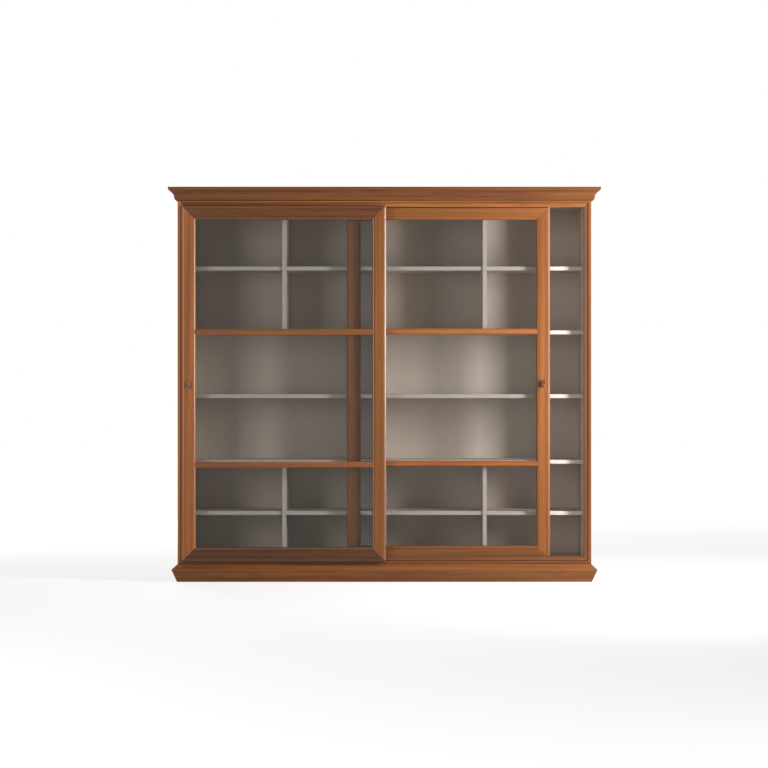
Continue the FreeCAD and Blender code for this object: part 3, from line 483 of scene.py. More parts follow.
MERGE = 0.002 * MM                           # corners closer than this are one
FLAT_ANGLE = math.radians(0.5)               # faces that turn less than this are one
SHARP_ANGLE = math.radians(32)               # edges that turn more than this are eased
GOLDEN_ANGLE = math.pi * (3 - math.sqrt(5))  # spreads rays evenly round a face
RECESS_RAYS = 48                             # rays sent out from each face
RECESS_FULL = 0.55                           # share of stopped rays that means full stain and painted shade
RAY_START = 0.02 * MM                        # rays start this far off their face
SQUARE = math.cos(math.radians(8))           # faces squarer to an axis than this are flat
FACING = 0.6                                 # how squarely an edge's faces look its way
FRONTWARD = Vector((0, -1, 0))
BACKWARD = Vector((0, 1, 0))
UPWARD = Vector((0, 0, 1))


def joined(node):
    """A copy of a node's mesh with its triangles joined at their corners."""
    made = bmesh.new()
    made.from_mesh(frame["nodes"][node].data)
    bmesh.ops.remove_doubles(made, verts=made.verts, dist=MERGE)
    return made


def islands(node):
    """Lowest and highest corner of each separate solid in a node, in order of place."""
    made = joined(node)
    waiting = set(made.verts)
    boxes = []
    while waiting:
        frontier = [waiting.pop()]
        found = list(frontier)
        while frontier:
            for link in frontier.pop().link_edges:
                for vertex in waiting.intersection(link.verts):
                    waiting.remove(vertex)
                    frontier.append(vertex)
                    found.append(vertex)
        corners = list(zip(*[vertex.co for vertex in found]))
        boxes.append((Vector([min(axis) for axis in corners]),
                      Vector([max(axis) for axis in corners])))
    made.free()
    return sorted(boxes, key=lambda box: tuple(round(value, 4) for value in box[0]))


def piece_of(name, mesh):
    """A new object with that mesh; an earlier one of the same name is taken away."""
    earlier = bpy.data.objects.get(name)
    if earlier:
        bpy.data.objects.remove(earlier)
    piece = bpy.data.objects.new(name, mesh)
    bpy.context.scene.collection.objects.link(piece)
    return piece


def harden(piece):
    """Apply a piece's modifiers to a plain mesh."""
    made = piece.evaluated_get(bpy.context.evaluated_depsgraph_get())
    mesh = bpy.data.meshes.new_from_object(made)
    mesh.name = piece.name
    piece.modifiers.clear()
    piece.data = mesh


def store(mesh, name, domain, values):
    """Store a number for each point or face of a mesh."""
    attribute = mesh.attributes.new(name, "FLOAT", domain)
    attribute.data.foreach_set("value", values)


def paint_recess_shade(mesh, reach, near):
    """Store how far each face sits in a quirk or a gap, for stain and painted shade: the share of short
    rays that meet wood.
    """
    corners, faces = [], []
    for shape in (mesh, *near):
        first = len(corners)
        corners += [vertex.co for vertex in shape.vertices]
        faces += [[first + index for index in face.vertices] for face in shape.polygons]
    tree = BVHTree.FromPolygons(corners, faces)
    depths = []
    for face in mesh.polygons:
        turn = face.normal.to_track_quat("Z", "Y")
        stopped = 0
        for step in range(RECESS_RAYS):
            rise = math.sqrt((step + 0.5) / RECESS_RAYS)
            out = math.sqrt(1 - rise * rise)
            round_about = step * GOLDEN_ANGLE
            way = turn @ Vector((out * math.cos(round_about), out * math.sin(round_about), rise))
            stopped += tree.ray_cast(face.center + face.normal * RAY_START, way, reach)[0] is not None
        depths.append(min(1.0, stopped / RECESS_RAYS / RECESS_FULL))
    store(mesh, "recess", "FACE", depths)


def mark_coat(mesh, flat, moulded):
    """Store each face's clear coat: moulded faces are those that lie square to no axis."""
    coats = [flat if max(abs(value) for value in face.normal) > SQUARE else moulded
             for face in mesh.polygons]
    store(mesh, "coat", "FACE", coats)


def worked(node, arris, material, edge=None, segments=2):
    """A node's own shape with its sharp edges eased, in place of the node.

    An edge is a direction and the material of the faces that look that way.
    """
    made = joined(node)
    bmesh.ops.dissolve_limit(made, angle_limit=FLAT_ANGLE, verts=made.verts, edges=made.edges)
    mesh = bpy.data.meshes.new(node + "_finished")
    made.to_mesh(mesh)
    made.free()
    piece = piece_of(node + "_finished", mesh)
    bevel = piece.modifiers.new("Arris", "BEVEL")
    bevel.width = arris
    bevel.segments = segments
    bevel.limit_method = "ANGLE"
    bevel.angle_limit = SHARP_ANGLE
    bevel.use_clamp_overlap = True
    harden(piece)
    piece.data.shade_smooth()
    piece.data.set_sharp_from_angle(angle=SHARP_ANGLE)
    weighted = piece.modifiers.new("Flat faces", "WEIGHTED_NORMAL")
    weighted.keep_sharp = True
    harden(piece)
    mesh = piece.data
    mesh.materials.clear()
    mesh.materials.append(material)
    if edge:
        way, edge_material = edge
        mesh.materials.append(edge_material)
        for face in mesh.polygons:
            face.material_index = int(face.normal.dot(way) > FACING)
    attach(piece, BODY_OF[node])
    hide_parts(node)
    return piece


def timber(node, along, tone, polish, near=()):
    """A cherry piece, darkened in its quirks and where it slides close by other pieces: partly stain,
    partly painted shade.
    """
    wood = bpy.context.scene.bookcase_wood
    mesh = worked(node, wood.arris, cherry(along)).data
    store(mesh, "board", "POINT", [NODE_ORDER.index(node) + 1.0] * len(mesh.vertices))
    store(mesh, "tone", "POINT", [tone] * len(mesh.vertices))
    paint_recess_shade(mesh, wood.quirk_reach, [frame["nodes"][name].data for name in near])
    mark_coat(mesh, wood.lacquer, polish)


def interior_lacquer():
    """The pale lacquer of the compartments."""
    return lacquer("interior_lacquer", bpy.context.scene.bookcase_interior.lacquer, 0.42)


def lacquered(node, banded=False):
    """A lacquered board of the compartments, its front edge banded or not."""
    inside = bpy.context.scene.bookcase_interior
    edge = (FRONTWARD, lacquer("edge_banding", inside.banding, 0.36)) if banded else None
    worked(node, inside.arris, interior_lacquer(), edge)


# ---- geometry nodes ------------------------------------------------------------------------------

class Recipe:
    """One tree of geometry nodes with named inputs, while it is built."""

    def __init__(self, name, inputs):
        earlier = bpy.data.node_groups.get(name)
        if earlier:
            bpy.data.node_groups.remove(earlier)
        self.tree = bpy.data.node_groups.new(name, "GeometryNodeTree")
        sockets = self.tree.interface
        sockets.new_socket("Geometry", in_out="INPUT", socket_type="NodeSocketGeometry")
        for label, kind in inputs:
            sockets.new_socket(label, in_out="INPUT", socket_type="NodeSocket" + kind)
        sockets.new_socket("Geometry", in_out="OUTPUT", socket_type="NodeSocketGeometry")
        self.start = self.tree.nodes.new("NodeGroupInput")

    def given(self, label):
        """The input of that name."""
        return self.start.outputs[label]

    def add(self, kind, settings=None, sockets=None, output=0):
        """Add a node: its settings first, then the values or links of its sockets."""
        made = self.tree.nodes.new(kind)
        for name, value in (settings or {}).items():
            setattr(made, name, value)
        for name, value in (sockets or {}).items():
            values = value if isinstance(value, list) else [value]
            for each in values:
                if isinstance(each, bpy.types.NodeSocket):
                    self.tree.links.new(each, made.inputs[name])
                else:
                    made.inputs[name].default_value = each
        return made.outputs[output] if made.outputs else made

    def maths(self, operation, first, second):
        """A Math node."""
        return self.add("ShaderNodeMath", {"operation": operation}, {0: first, 1: second})

    def times(self, first, second):
        """A product."""
        return self.maths("MULTIPLY", first, second)

    def rod(self, sides, radius, depth):
        """An upright cylinder about the origin."""
        return self.add("GeometryNodeMeshCylinder", {}, {
            "Vertices": sides, "Radius": radius, "Depth": depth})

    def taper(self, sides, foot, top, depth):
        """An upright cone about the origin, cut off at its top."""
        return self.add("GeometryNodeMeshCone", {}, {
            "Vertices": sides, "Radius Bottom": foot, "Radius Top": top, "Depth": depth})

    def up(self, height):
        """A step up the Z axis."""
        return self.add("ShaderNodeCombineXYZ", {}, {"Z": height})

    def lifted(self, geometry, height):
        """Geometry moved up its own axis."""
        return self.add("GeometryNodeTransform", {}, {
            "Geometry": geometry, "Translation": self.up(height)})

    def facing(self):
        """The turn that points an instance's axis along its point's facing."""
        way = self.add("GeometryNodeInputNamedAttribute", {"data_type": "FLOAT_VECTOR"},
                       {"Name": "facing"})
        return self.add("FunctionNodeAlignRotationToVector", {"axis": "Z"}, {"Vector": way})

    def placed(self, points, shape, turn):
        """The shape at every point."""
        return self.add("GeometryNodeInstanceOnPoints", {}, {
            "Points": points, "Instance": shape, "Rotation": turn})

    def finish(self, geometry, material, dark=None):
        """Real mesh in its material, and what is marked as dark in another, to the output."""
        real = self.add("GeometryNodeRealizeInstances", {}, {"Geometry": geometry})
        dressed = self.add("GeometryNodeSetMaterial", {}, {"Geometry": real, "Material": material})
        if dark:
            marked = self.add("GeometryNodeInputNamedAttribute", {"data_type": "BOOLEAN"},
                              {"Name": "dark"})
            dressed = self.add("GeometryNodeSetMaterial", {}, {
                "Geometry": dressed, "Selection": marked, "Material": dark})
        end = self.tree.nodes.new("NodeGroupOutput")
        self.tree.links.new(dressed, end.inputs[0])
        return self.tree


def grown(name, tree, points, values, body):
    """Run a tree on points, each a place and the way that it faces, and keep the plain mesh."""
    seeds = bpy.data.meshes.new(name + "_points")
    seeds.from_pydata([tuple(place) for place, way in points], [], [])
    ways = seeds.attributes.new("facing", "FLOAT_VECTOR", "POINT")
    ways.data.foreach_set("vector", [value for place, way in points for value in way])
    piece = piece_of(name, seeds)
    modifier = piece.modifiers.new(tree.name, "NODES")
    modifier.node_group = tree
    labels = {item.name: item.identifier for item in tree.interface.items_tree
              if item.in_out == "INPUT"}
    for label, value in values.items():
        modifier[labels[label]] = value
    harden(piece)
    piece.data.set_sharp_from_angle(angle=SHARP_ANGLE)
    if not piece.data.polygons:
        raise RuntimeError(name + " has no faces")
    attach(piece, body)
    return piece


def screw_tree():
    """Low-domed screw heads with a cross recess."""
    recipe = Recipe("Cross-head screws", [("Head Radius", "Float"), ("Head Height", "Float"),
                                          ("Slot Width", "Float"), ("Material", "Material")])
    radius, height, slot = [recipe.given(label) for label in (
        "Head Radius", "Head Height", "Slot Width")]
    head = recipe.taper(20, radius, recipe.times(radius, 0.72), height)
    reach = recipe.times(radius, 1.05)
    cross = []
    for wide, deep in ((reach, slot), (slot, reach)):
        size = recipe.add("ShaderNodeCombineXYZ", {}, {0: wide, 1: deep, 2: height})
        bar = recipe.add("GeometryNodeMeshCube", {}, {"Size": size})
        cross.append(recipe.lifted(bar, recipe.times(height, 0.9)))
    cut = recipe.add("GeometryNodeMeshBoolean", {"operation": "DIFFERENCE", "solver": "EXACT"},
                     {"Mesh 1": head, "Mesh 2": cross})
    spin = recipe.add("FunctionNodeRandomValue", {"data_type": "FLOAT_VECTOR"},
                      {0: (0, 0, 0), 1: (0, 0, math.pi), "Seed": 11})
    turn = recipe.add("FunctionNodeRotateRotation", {"rotation_space": "LOCAL"}, {
        "Rotation": recipe.facing(), "Rotate By": spin})
    return recipe.finish(recipe.placed(recipe.given("Geometry"), cut, turn),
                         recipe.given("Material"))


def pin_tree():
    """Turned shelf pins: a stud with a tapered nose, and a collar against the board."""
    recipe = Recipe("Shelf pins", [("Radius", "Float"), ("Reach", "Float"), ("Nose", "Float"),
                                   ("Collar Radius", "Float"), ("Collar Thickness", "Float"),
                                   ("Material", "Material")])
    radius, reach, nose, collar = [recipe.given(label) for label in (
        "Radius", "Reach", "Nose", "Collar Thickness")]
    body = recipe.maths("SUBTRACT", reach, nose)
    stud = recipe.lifted(recipe.rod(24, radius, body), recipe.times(body, 0.5))
    tip = recipe.lifted(recipe.taper(24, radius, recipe.times(radius, 0.6), nose),
                        recipe.maths("ADD", body, recipe.times(nose, 0.5)))
    ring = recipe.lifted(recipe.rod(24, recipe.given("Collar Radius"), collar),
                         recipe.times(collar, 0.5))
    whole = recipe.add("GeometryNodeJoinGeometry", {}, {"Geometry": [stud, tip, ring]})
    return recipe.finish(recipe.placed(recipe.given("Geometry"), whole, recipe.facing()),
                         recipe.given("Material"))


def pin_hole_tree():
    """Rows of pin holes: a dark disc of painted shade for each hole's depth, in a thin ring, at an even
    pitch along Z.
    """
    recipe = Recipe("Pin hole rows", [("Ring Radius", "Float"), ("Ring Wire", "Float"),
                                      ("Pitch", "Float"), ("Each Way", "Int"),
                                      ("Hole Material", "Material"), ("Material", "Material")])
    wire, pitch, each_way = [recipe.given(label) for label in ("Ring Wire", "Pitch", "Each Way")]
    radius = recipe.maths("SUBTRACT", recipe.given("Ring Radius"), wire)
    circle, section = [recipe.add("GeometryNodeCurvePrimitiveCircle", {}, {
        "Resolution": sides, "Radius": size}) for sides, size in ((14, radius), (4, wire))]
    ring = recipe.add("GeometryNodeCurveToMesh", {}, {"Curve": circle, "Profile Curve": section})
    disc = recipe.add("GeometryNodeStoreNamedAttribute", {"data_type": "BOOLEAN", "domain": "FACE"}, {
        "Geometry": recipe.rod(14, radius, wire), "Name": "dark", "Value": True})
    hole = recipe.add("GeometryNodeJoinGeometry", {}, {"Geometry": [ring, disc]})
    row = recipe.add("GeometryNodeMeshLine", {}, {
        "Count": recipe.maths("ADD", recipe.times(each_way, 2.0), 1.0),
        "Start Location": recipe.up(recipe.times(recipe.times(each_way, pitch), -1.0)),
        "Offset": recipe.up(pitch)})
    taken = recipe.add("FunctionNodeCompare", {"data_type": "INT", "operation": "EQUAL"}, {
        2: recipe.add("GeometryNodeInputIndex"), 3: each_way})
    row = recipe.add("GeometryNodeDeleteGeometry", {}, {"Geometry": row, "Selection": taken})
    rows = recipe.add("GeometryNodeRealizeInstances", {}, {
        "Geometry": recipe.placed(recipe.given("Geometry"), row, (0, 0, 0))})
    return recipe.finish(recipe.placed(rows, hole, recipe.facing()), recipe.given("Material"),
                         dark=recipe.given("Hole Material"))


def screws(name, points, body):
    """Screws at points, each a place and the way that its head faces."""
    fittings = bpy.context.scene.bookcase_fittings
    tree = bpy.data.node_groups.get("Cross-head screws") or screw_tree()
    heads = [(Vector(place) + Vector(way) * (fittings.screw_height / 2), way)
             for place, way in points]
    values = {"Head Radius": fittings.screw_head, "Head Height": fittings.screw_height,
              "Slot Width": fittings.screw_slot, "Material": steel(fittings)}
    grown(name, tree, heads, values, body)


# ---- case ----------------------------------------------------------------------------------------

class BOOKCASE_OT_cornice(bpy.types.Operator):
    """Finish the three mitred lengths of the cornice"""
    bl_idname = "bookcase.cornice"
    bl_label = "Cornice"

    def execute(self, context):
        wood = context.scene.bookcase_wood
        for node, along in (("cornice_front", "x"), ("cornice_left", "y"), ("cornice_right", "y")):
            timber(node, along, wood.cornice_tone, wood.polish)
        return {"FINISHED"}


class BOOKCASE_OT_plinth(bpy.types.Operator):
    """Finish the moulded plinth and the plain frame inside it"""
    bl_idname = "bookcase.plinth"
    bl_label = "Plinth"

    def execute(self, context):
        wood, inside = context.scene.bookcase_wood, context.scene.bookcase_interior
        for node, along in (("plinth_front", "x"), ("plinth_left", "y"), ("plinth_right", "y")):
            timber(node, along, wood.plinth_tone, wood.polish)
        worked("plinth_inner_frame", inside.arris, pressed_board("chipboard", inside.plain, 260.0))
        return {"FINISHED"}


class BOOKCASE_OT_face_frame(bpy.types.Operator):
    """Finish the mitred frame round the opening"""
    bl_idname = "bookcase.face_frame"
    bl_label = "Face frame"

    def execute(self, context):
        wood = context.scene.bookcase_wood
        for side, tone in zip(SIDES, (wood.frame_left_tone, wood.frame_tone)):
            timber("frame_stile_" + side, "z", tone, wood.polish)
        for end, tone in zip(ENDS, (wood.frame_head_tone, wood.frame_foot_tone)):
            timber("frame_rail_" + end, "x", tone, wood.polish)
        return {"FINISHED"}


class BOOKCASE_OT_case(bpy.types.Operator):
    """Finish the outer panels, linings, floor, ceiling, partition, backs and top board"""
    bl_idname = "bookcase.case"
    bl_label = "Case"

    def execute(self, context):
        wood, inside = context.scene.bookcase_wood, context.scene.bookcase_interior
        for side in SIDES:
            timber("side_panel_" + side, "z", wood.side_tone, wood.polish)
            lacquered("lining_" + side)
            worked("back_panel_" + side, inside.arris, interior_lacquer(),
                   (BACKWARD, pressed_board("hardboard", inside.hardboard, 700.0)))
        for node in ("case_floor", "case_ceiling"):
            lacquered(node)
        lacquered("centre_partition", banded=True)
        worked("top_board", inside.arris, pressed_board("chipboard", inside.plain, 260.0))
        return {"FINISHED"}


class BOOKCASE_OT_back_screws(bpy.types.Operator):
    """Screw the back panels round their edges"""
    bl_idname = "bookcase.back_screws"
    bl_label = "Back screws"

    def execute(self, context):
        fittings = context.scene.bookcase_fittings
        points = []
        for side in SIDES:
            low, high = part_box("back_panel_" + side)
            inset = Vector((fittings.back_screw_inset, 0, fittings.back_screw_inset))
            start, end = low + inset, high - inset
            wide = max(2, round((end.x - start.x) / fittings.back_screw_pitch))
            tall = max(2, round((end.z - start.z) / fittings.back_screw_pitch))
            for step in range(wide + 1):
                x = start.x + (end.x - start.x) * step / wide
                points += [((x, high.y, z), BACKWARD) for z in (start.z, end.z)]
            for step in range(1, tall):
                z = start.z + (end.z - start.z) * step / tall
                points += [((x, high.y, z), BACKWARD) for x in (start.x, end.x)]
        screws("back_screws", points, "case")
        return {"FINISHED"}


class BOOKCASE_OT_shelves(bpy.types.Operator):
    """Finish the fixed and loose shelves and the dividers"""
    bl_idname = "bookcase.shelves"
    bl_label = "Shelves and dividers"

    def execute(self, context):
        for node in ("lower_dividers", "upper_dividers"):
            lacquered(node, banded=True)
        for side in SIDES:
            for shelf in FIXED_SHELVES + LOOSE_SHELVES:
                lacquered(f"{shelf}_{side}", banded=True)
        return {"FINISHED"}


def shelf_pin_points():
    """Root of each shelf pin on its board, and the way that it stands out."""
    shelves = [box for shelf in LOOSE_SHELVES for side in SIDES
               for box in islands(f"{shelf}_{side}")]
    points = []
    for low, high in islands("shelf_pins"):
        middle = (low + high) / 2
        reach = high.x - low.x
        start, end = next(box for box in shelves if abs(box[0].z - high.z) < MM
                          and box[0].x - reach < middle.x < box[1].x + reach)
        rightward = middle.x < (start.x + end.x) / 2
        root = low.x if rightward else high.x
        points.append(((root, middle.y, middle.z), (1, 0, 0) if rightward else (-1, 0, 0)))
    return points


class BOOKCASE_OT_shelf_pins(bpy.types.Operator):
    """Turn the shelf pins and drill the rows of spare pin holes"""
    bl_idname = "bookcase.shelf_pins"
    bl_label = "Shelf pins"

    def execute(self, context):
        fittings = context.scene.bookcase_fittings
        points = shelf_pin_points()
        low, high = islands("shelf_pins")[0]
        metal = steel(fittings)
        values = {"Radius": (high.z - low.z) / 2, "Reach": high.x - low.x,
                  "Nose": fittings.pin_nose, "Collar Radius": fittings.pin_collar,
                  "Collar Thickness": fittings.pin_collar_thickness, "Material": metal}
        pins = grown("turned_shelf_pins", pin_tree(), points, values, "case")
        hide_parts("shelf_pins")
        values = {"Ring Radius": fittings.sleeve, "Ring Wire": fittings.sleeve_wire,
                  "Pitch": fittings.hole_pitch, "Each Way": fittings.holes_each_way,
                  # The hole discs' material is painted shade for the depth of each hole.
                  "Hole Material": plastic("pin_hole", fittings.hole, 0.8), "Material": metal}
        grown("pin_hole_rows", pin_hole_tree(), points, values, "case")
        return {"FINISHED"}


# ---- doors ---------------------------------------------------------------------------------------

def finish_door(door, stile_tones, rail_tones, bar_tone, polish):
    """Finish a door's mitred members, glazing bars and glass."""
    fittings = bpy.context.scene.bookcase_fittings
    for side, tone in zip(SIDES, stile_tones):
        timber(f"{door}_stile_{side}", "z", tone, polish)
    for end, tone in zip(ENDS, rail_tones):
        timber(f"{door}_rail_{end}", "x", tone, polish, near=["frame_rail_" + end])
    timber(door + "_glazing_bars", "x", bar_tone, polish)
    pane = frame["nodes"][door + "_glass"]
    pane.data.materials.clear()
    pane.data.materials.append(door_glass(fittings))


class BOOKCASE_OT_front_door(bpy.types.Operator):
    """Finish the front door's wood and glass"""
    bl_idname = "bookcase.front_door"
    bl_label = "Front door"

    def execute(self, context):
        wood = context.scene.bookcase_wood
        finish_door("front_door", (wood.front_stile_tone, wood.front_meeting_tone),
                    (wood.front_rail_tone, wood.front_foot_tone), wood.front_bar_tone,
                    wood.front_polish)
        return {"FINISHED"}


class BOOKCASE_OT_rear_door(bpy.types.Operator):
    """Finish the rear door's wood and glass"""
    bl_idname = "bookcase.rear_door"
    bl_label = "Rear door"

    def execute(self, context):
        wood = context.scene.bookcase_wood
        finish_door("rear_door", (wood.rear_meeting_tone, wood.rear_stile_tone),
                    (wood.rear_rail_tone, wood.rear_foot_tone), wood.rear_bar_tone,
                    wood.rear_polish)
        return {"FINISHED"}


class BOOKCASE_OT_knobs(bpy.types.Operator):
    """Finish the bronze knobs and the screw behind each"""
    bl_idname = "bookcase.knobs"
    bl_label = "Knobs"

    def execute(self, context):
        fittings = context.scene.bookcase_fittings
        for door in DOORS:
            worked(door + "_knob", fittings.knob_arris, burnished(fittings),
                   segments=3)
            low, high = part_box(door + "_knob")
            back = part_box(door + "_stile_left")[1].y
            middle = (low + high) / 2
            screws(door + "_knob_screw", [((middle.x, back, middle.z), BACKWARD)], door)
        return {"FINISHED"}


# ---- tracks and running gear ---------------------------------------------------------------------

class BOOKCASE_OT_tracks(bpy.types.Operator):
    """Finish the tracks, the head channel and the rubber stops"""
    bl_idname = "bookcase.tracks"
    bl_label = "Tracks and stops"

    def execute(self, context):
        fittings = context.scene.bookcase_fittings
        for node in ("front_track", "rear_track", "head_channel"):
            worked(node, fittings.metal_arris,
                   brushed("anodised_track", fittings.track, "x", 0.34))
        worked("door_stops", fittings.rubber_arris, plastic("stop_rubber", fittings.rubber, 0.7))
        return {"FINISHED"}


def roller_profile(radius, groove, bore, half, fittings):
    """Half section of a grooved roller, as radius and distance along the axle, all round."""
    ease = 0.4 * MM
    floor = half * 0.6
    web = half - fittings.web_depth
    rim = radius - fittings.rim
    bearing = fittings.bearing
    right = [(bore, half), (bearing, half), (bearing, web), (rim, web), (rim, half - ease),
             (rim + ease, half), (radius - ease, half), (radius, half - ease), (groove, floor)]
    left = [(reach, -along) for reach, along in reversed(right)]
    return right + left


def turned(name, profile, centre, materials, steel_radius, steps=64):
    """A ring turned about Y from a closed section; faces within steel_radius are steel."""
    mesh = bpy.data.meshes.new(name)
    made = bmesh.new()
    loops = []
    for step in range(steps):
        angle = 2 * math.pi * step / steps
        loops.append([made.verts.new((centre.x + reach * math.cos(angle), centre.y + along,
                                      centre.z + reach * math.sin(angle)))
                      for reach, along in profile])
    count = len(profile)
    for step in range(steps):
        here, after = loops[step], loops[(step + 1) % steps]
        for index in range(count):
            beside = (index + 1) % count
            face = made.faces.new((here[index], here[beside], after[beside], after[index]))
            reach = (profile[index][0] + profile[beside][0]) / 2
            face.material_index = int(reach < steel_radius)
    bmesh.ops.recalc_face_normals(made, faces=made.faces)
    made.to_mesh(mesh)
    made.free()
    for material in materials:
        mesh.materials.append(material)
    mesh.shade_smooth()
    mesh.set_sharp_from_angle(angle=SHARP_ANGLE)
    return piece_of(name, mesh)


class BOOKCASE_OT_rollers(bpy.types.Operator):
    """Turn the four nylon rollers with their steel bearings"""
    bl_idname = "bookcase.rollers"
    bl_label = "Rollers"

    def execute(self, context):
        fittings = context.scene.bookcase_fittings
        materials = [plastic("roller_nylon", fittings.nylon, 0.4), steel(fittings)]
        for door in DOORS:
            for side in SIDES:
                node = f"{door}_roller_{side}"
                low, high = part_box(node)
                centre = (low + high) / 2
                reaches = [math.hypot(vertex.co.x - centre.x, vertex.co.z - centre.z)
                           for vertex in frame["nodes"][node].data.vertices]
                groove = min(reach for reach in reaches if reach > fittings.bearing)
                profile = roller_profile(max(reaches), groove, min(reaches), (high.y - low.y) / 2,
                                         fittings)
                piece = turned(node + "_turned", profile, centre, materials, fittings.bearing)
                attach(piece, BODY_OF[node])
                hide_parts(node)
        return {"FINISHED"}


def plate_screw_points(fittings):
    """Screws of each door's plates: on the front door's back, and on the rear door's head."""
    inset = fittings.plate_screw_inset
    front, rear = [], []
    for low, high in islands("front_door_roller_brackets"):
        front += [((x, low.y + fittings.plate, z), BACKWARD) for x in (low.x + inset, high.x - inset)
                  for z in (low.z + inset, high.z - inset)]
    for low, high in islands("front_door_guides"):
        front += [((x, low.y + fittings.plate, low.z + 2 * inset), BACKWARD)
                  for x in (low.x + inset, high.x - inset)]
    for low, high in islands("rear_door_guides"):
        rear += [((x, (low.y + high.y) / 2, low.z + fittings.plate), UPWARD)
                 for x in (low.x + inset, high.x - inset)]
    return {"front_door": front, "rear_door": rear}


class BOOKCASE_OT_brackets(bpy.types.Operator):
    """Finish the roller brackets and guides, and screw them to the doors"""
    bl_idname = "bookcase.brackets"
    bl_label = "Brackets and guides"

    def execute(self, context):
        fittings = context.scene.bookcase_fittings
        for door, points in plate_screw_points(fittings).items():
            worked(door + "_roller_brackets", fittings.metal_arris, steel(fittings))
            worked(door + "_guides", fittings.metal_arris,
                   plastic("guide_nylon", fittings.nylon, 0.4))
            screws(door + "_plate_screws", points, door)
        return {"FINISHED"}


# ---- stage ---------------------------------------------------------------------------------------

GLOW_NEAR = 2.5  # metres from the case at which the floor starts to pale
GLOW_FAR = 9.0   # metres at which it is white


def background_rays(finish):
    """One for rays that show a background: from the camera, a mirror or through glass."""
    camera, glossy, through = [finish.node("ShaderNodeLightPath", output=kind) for kind in (
        "Is Camera Ray", "Is Glossy Ray", "Is Transmission Ray")]
    return finish.maths("ADD", camera + glossy, through, clamp=True)


def pale_floor(stage):
    """Matt floor that shows white and keeps the shadows on it."""
    def build(finish):
        across, along, rise = finish.own_axes()
        away = finish.maths("SQRT", across * across + along * along)
        glow = stage.floor_glow + finish.within(away, GLOW_NEAR, GLOW_FAR) * (1 - stage.floor_glow)
        paint = finish.node("ShaderNodeBsdfDiffuse", {}, {"Color": rgba(stage.floor_shade)})
        white = finish.node("ShaderNodeEmission", {}, {
            "Color": (1, 1, 1, 1), "Strength": background_rays(finish) * glow})
        return finish.show(finish.node("ShaderNodeAddShader", {}, {0: paint, 1: white}))

    return finish_once("pale_floor", build)


def lay_floor(stage):
    """A square floor under the case."""
    half = stage.floor_size / 2
    mesh = bpy.data.meshes.new("floor")
    mesh.from_pydata([(-half, -half, 0), (half, -half, 0), (half, half, 0), (-half, half, 0)],
                     [], [(0, 1, 2, 3)])
    mesh.materials.append(pale_floor(stage))
    floor = piece_of("floor", mesh)


def light_room(scene, stage):
    """A plain world: white where it shows, faint where it lights."""
    scene.world = scene.world or bpy.data.worlds.new("studio")
    finish = Finish("studio", scene.world)
    level = stage.ambient + background_rays(finish) * (1 - stage.ambient)
    glow = finish.node("ShaderNodeBackground", {}, {"Color": (1, 1, 1, 1), "Strength": level})
    finish.node("ShaderNodeOutputWorld", {}, {"Surface": glow})


def hang_lamps(scene, stage):
    """Three soft lamps, none of them mirrored in the door glass, nor the back one in lacquer."""
    panes = bpy.data.collections.new("panes")
    for door in DOORS:
        panes.objects.link(frame["nodes"][door + "_glass"])
    for pane in panes.collection_objects:
        pane.light_linking.link_state = "EXCLUDE"
    for name in ("key", "fill", "back"):
        lamp = bpy.data.lights.new(name + "_lamp", "AREA")
        lamp.energy = getattr(stage, name + "_power")
        lamp.shape = "RECTANGLE"
        lamp.size, lamp.size_y = getattr(stage, name + "_size")
        hung = bpy.data.objects.new(name + "_lamp", lamp)
        hung.location = getattr(stage, name + "_place")
        aim = Vector(stage.lamp_target) - hung.location
        hung.rotation_euler = aim.to_track_quat("-Z", "Y").to_euler()
        hung.light_linking.receiver_collection = panes
        hung.visible_glossy = name != "back"
        scene.collection.objects.link(hung)


def place_camera(scene, stage):
    """A level camera in front of the case."""
    camera = bpy.data.cameras.new("camera")
    camera.lens = stage.lens
    camera.clip_end = stage.floor_size * 2
    stand = bpy.data.objects.new("camera", camera)
    stand.location = (stage.camera_x, -stage.camera_distance, stage.camera_height)
    stand.rotation_euler = (math.radians(90), 0, 0)
    scene.collection.objects.link(stand)
    scene.camera = stand


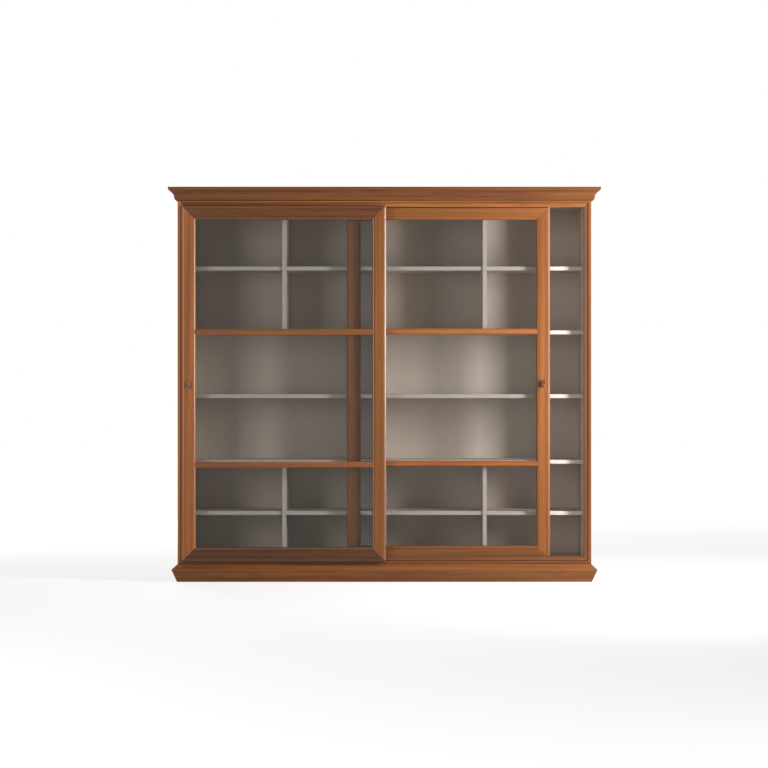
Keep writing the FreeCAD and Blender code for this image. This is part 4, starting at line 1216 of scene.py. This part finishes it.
class BOOKCASE_OT_stage(bpy.types.Operator):
    """Lay the floor, hang the lamps and place the camera"""
    bl_idname = "bookcase.stage"
    bl_label = "Stage"

    def execute(self, context):
        scene = context.scene
        stage = scene.bookcase_stage
        lay_floor(stage)
        light_room(scene, stage)
        hang_lamps(scene, stage)
        place_camera(scene, stage)
        scene.view_settings.view_transform = "Standard"
        return {"FINISHED"}


# ---- panel and registration ----------------------------------------------------------------------

PIECES = (BOOKCASE_OT_cornice, BOOKCASE_OT_plinth, BOOKCASE_OT_face_frame, BOOKCASE_OT_case,
          BOOKCASE_OT_back_screws, BOOKCASE_OT_shelves, BOOKCASE_OT_shelf_pins,
          BOOKCASE_OT_front_door, BOOKCASE_OT_rear_door, BOOKCASE_OT_knobs, BOOKCASE_OT_tracks,
          BOOKCASE_OT_rollers, BOOKCASE_OT_brackets, BOOKCASE_OT_stage)
GROUPS = (("bookcase_wood", BookcaseWood), ("bookcase_interior", BookcaseInterior),
          ("bookcase_fittings", BookcaseFittings), ("bookcase_stage", BookcaseStage))


class BOOKCASE_PT_pieces(bpy.types.Panel):
    """Sizes, colours and one button for each group of pieces"""
    bl_idname = "BOOKCASE_PT_pieces"
    bl_label = "Bookcase"
    bl_space_type = "VIEW_3D"
    bl_region_type = "UI"
    bl_category = "Bookcase"

    def draw(self, context):
        for name, group in GROUPS:
            box = self.layout.box()
            box.label(text=group.__doc__)
            for field in group.__annotations__:
                box.prop(getattr(context.scene, name), field)
        for piece in PIECES:
            self.layout.operator(piece.bl_idname)


def register():
    """Make the operators, the panel and the settings known."""
    for group in [entry[1] for entry in GROUPS] + [*PIECES, BOOKCASE_PT_pieces]:
        bpy.utils.register_class(group)
    for name, group in GROUPS:
        setattr(bpy.types.Scene, name, PointerProperty(type=group))


def unregister():
    """Take them away again."""
    for name, group in GROUPS:
        delattr(bpy.types.Scene, name)
    for group in [BOOKCASE_PT_pieces, *reversed(PIECES)] + [entry[1] for entry in GROUPS]:
        bpy.utils.unregister_class(group)


def main():
    """Build every piece in order."""
    register()
    for piece in PIECES:
        group, name = piece.bl_idname.split(".")
        getattr(getattr(bpy.ops, group), name)()


if __name__ == "__main__":
    main()
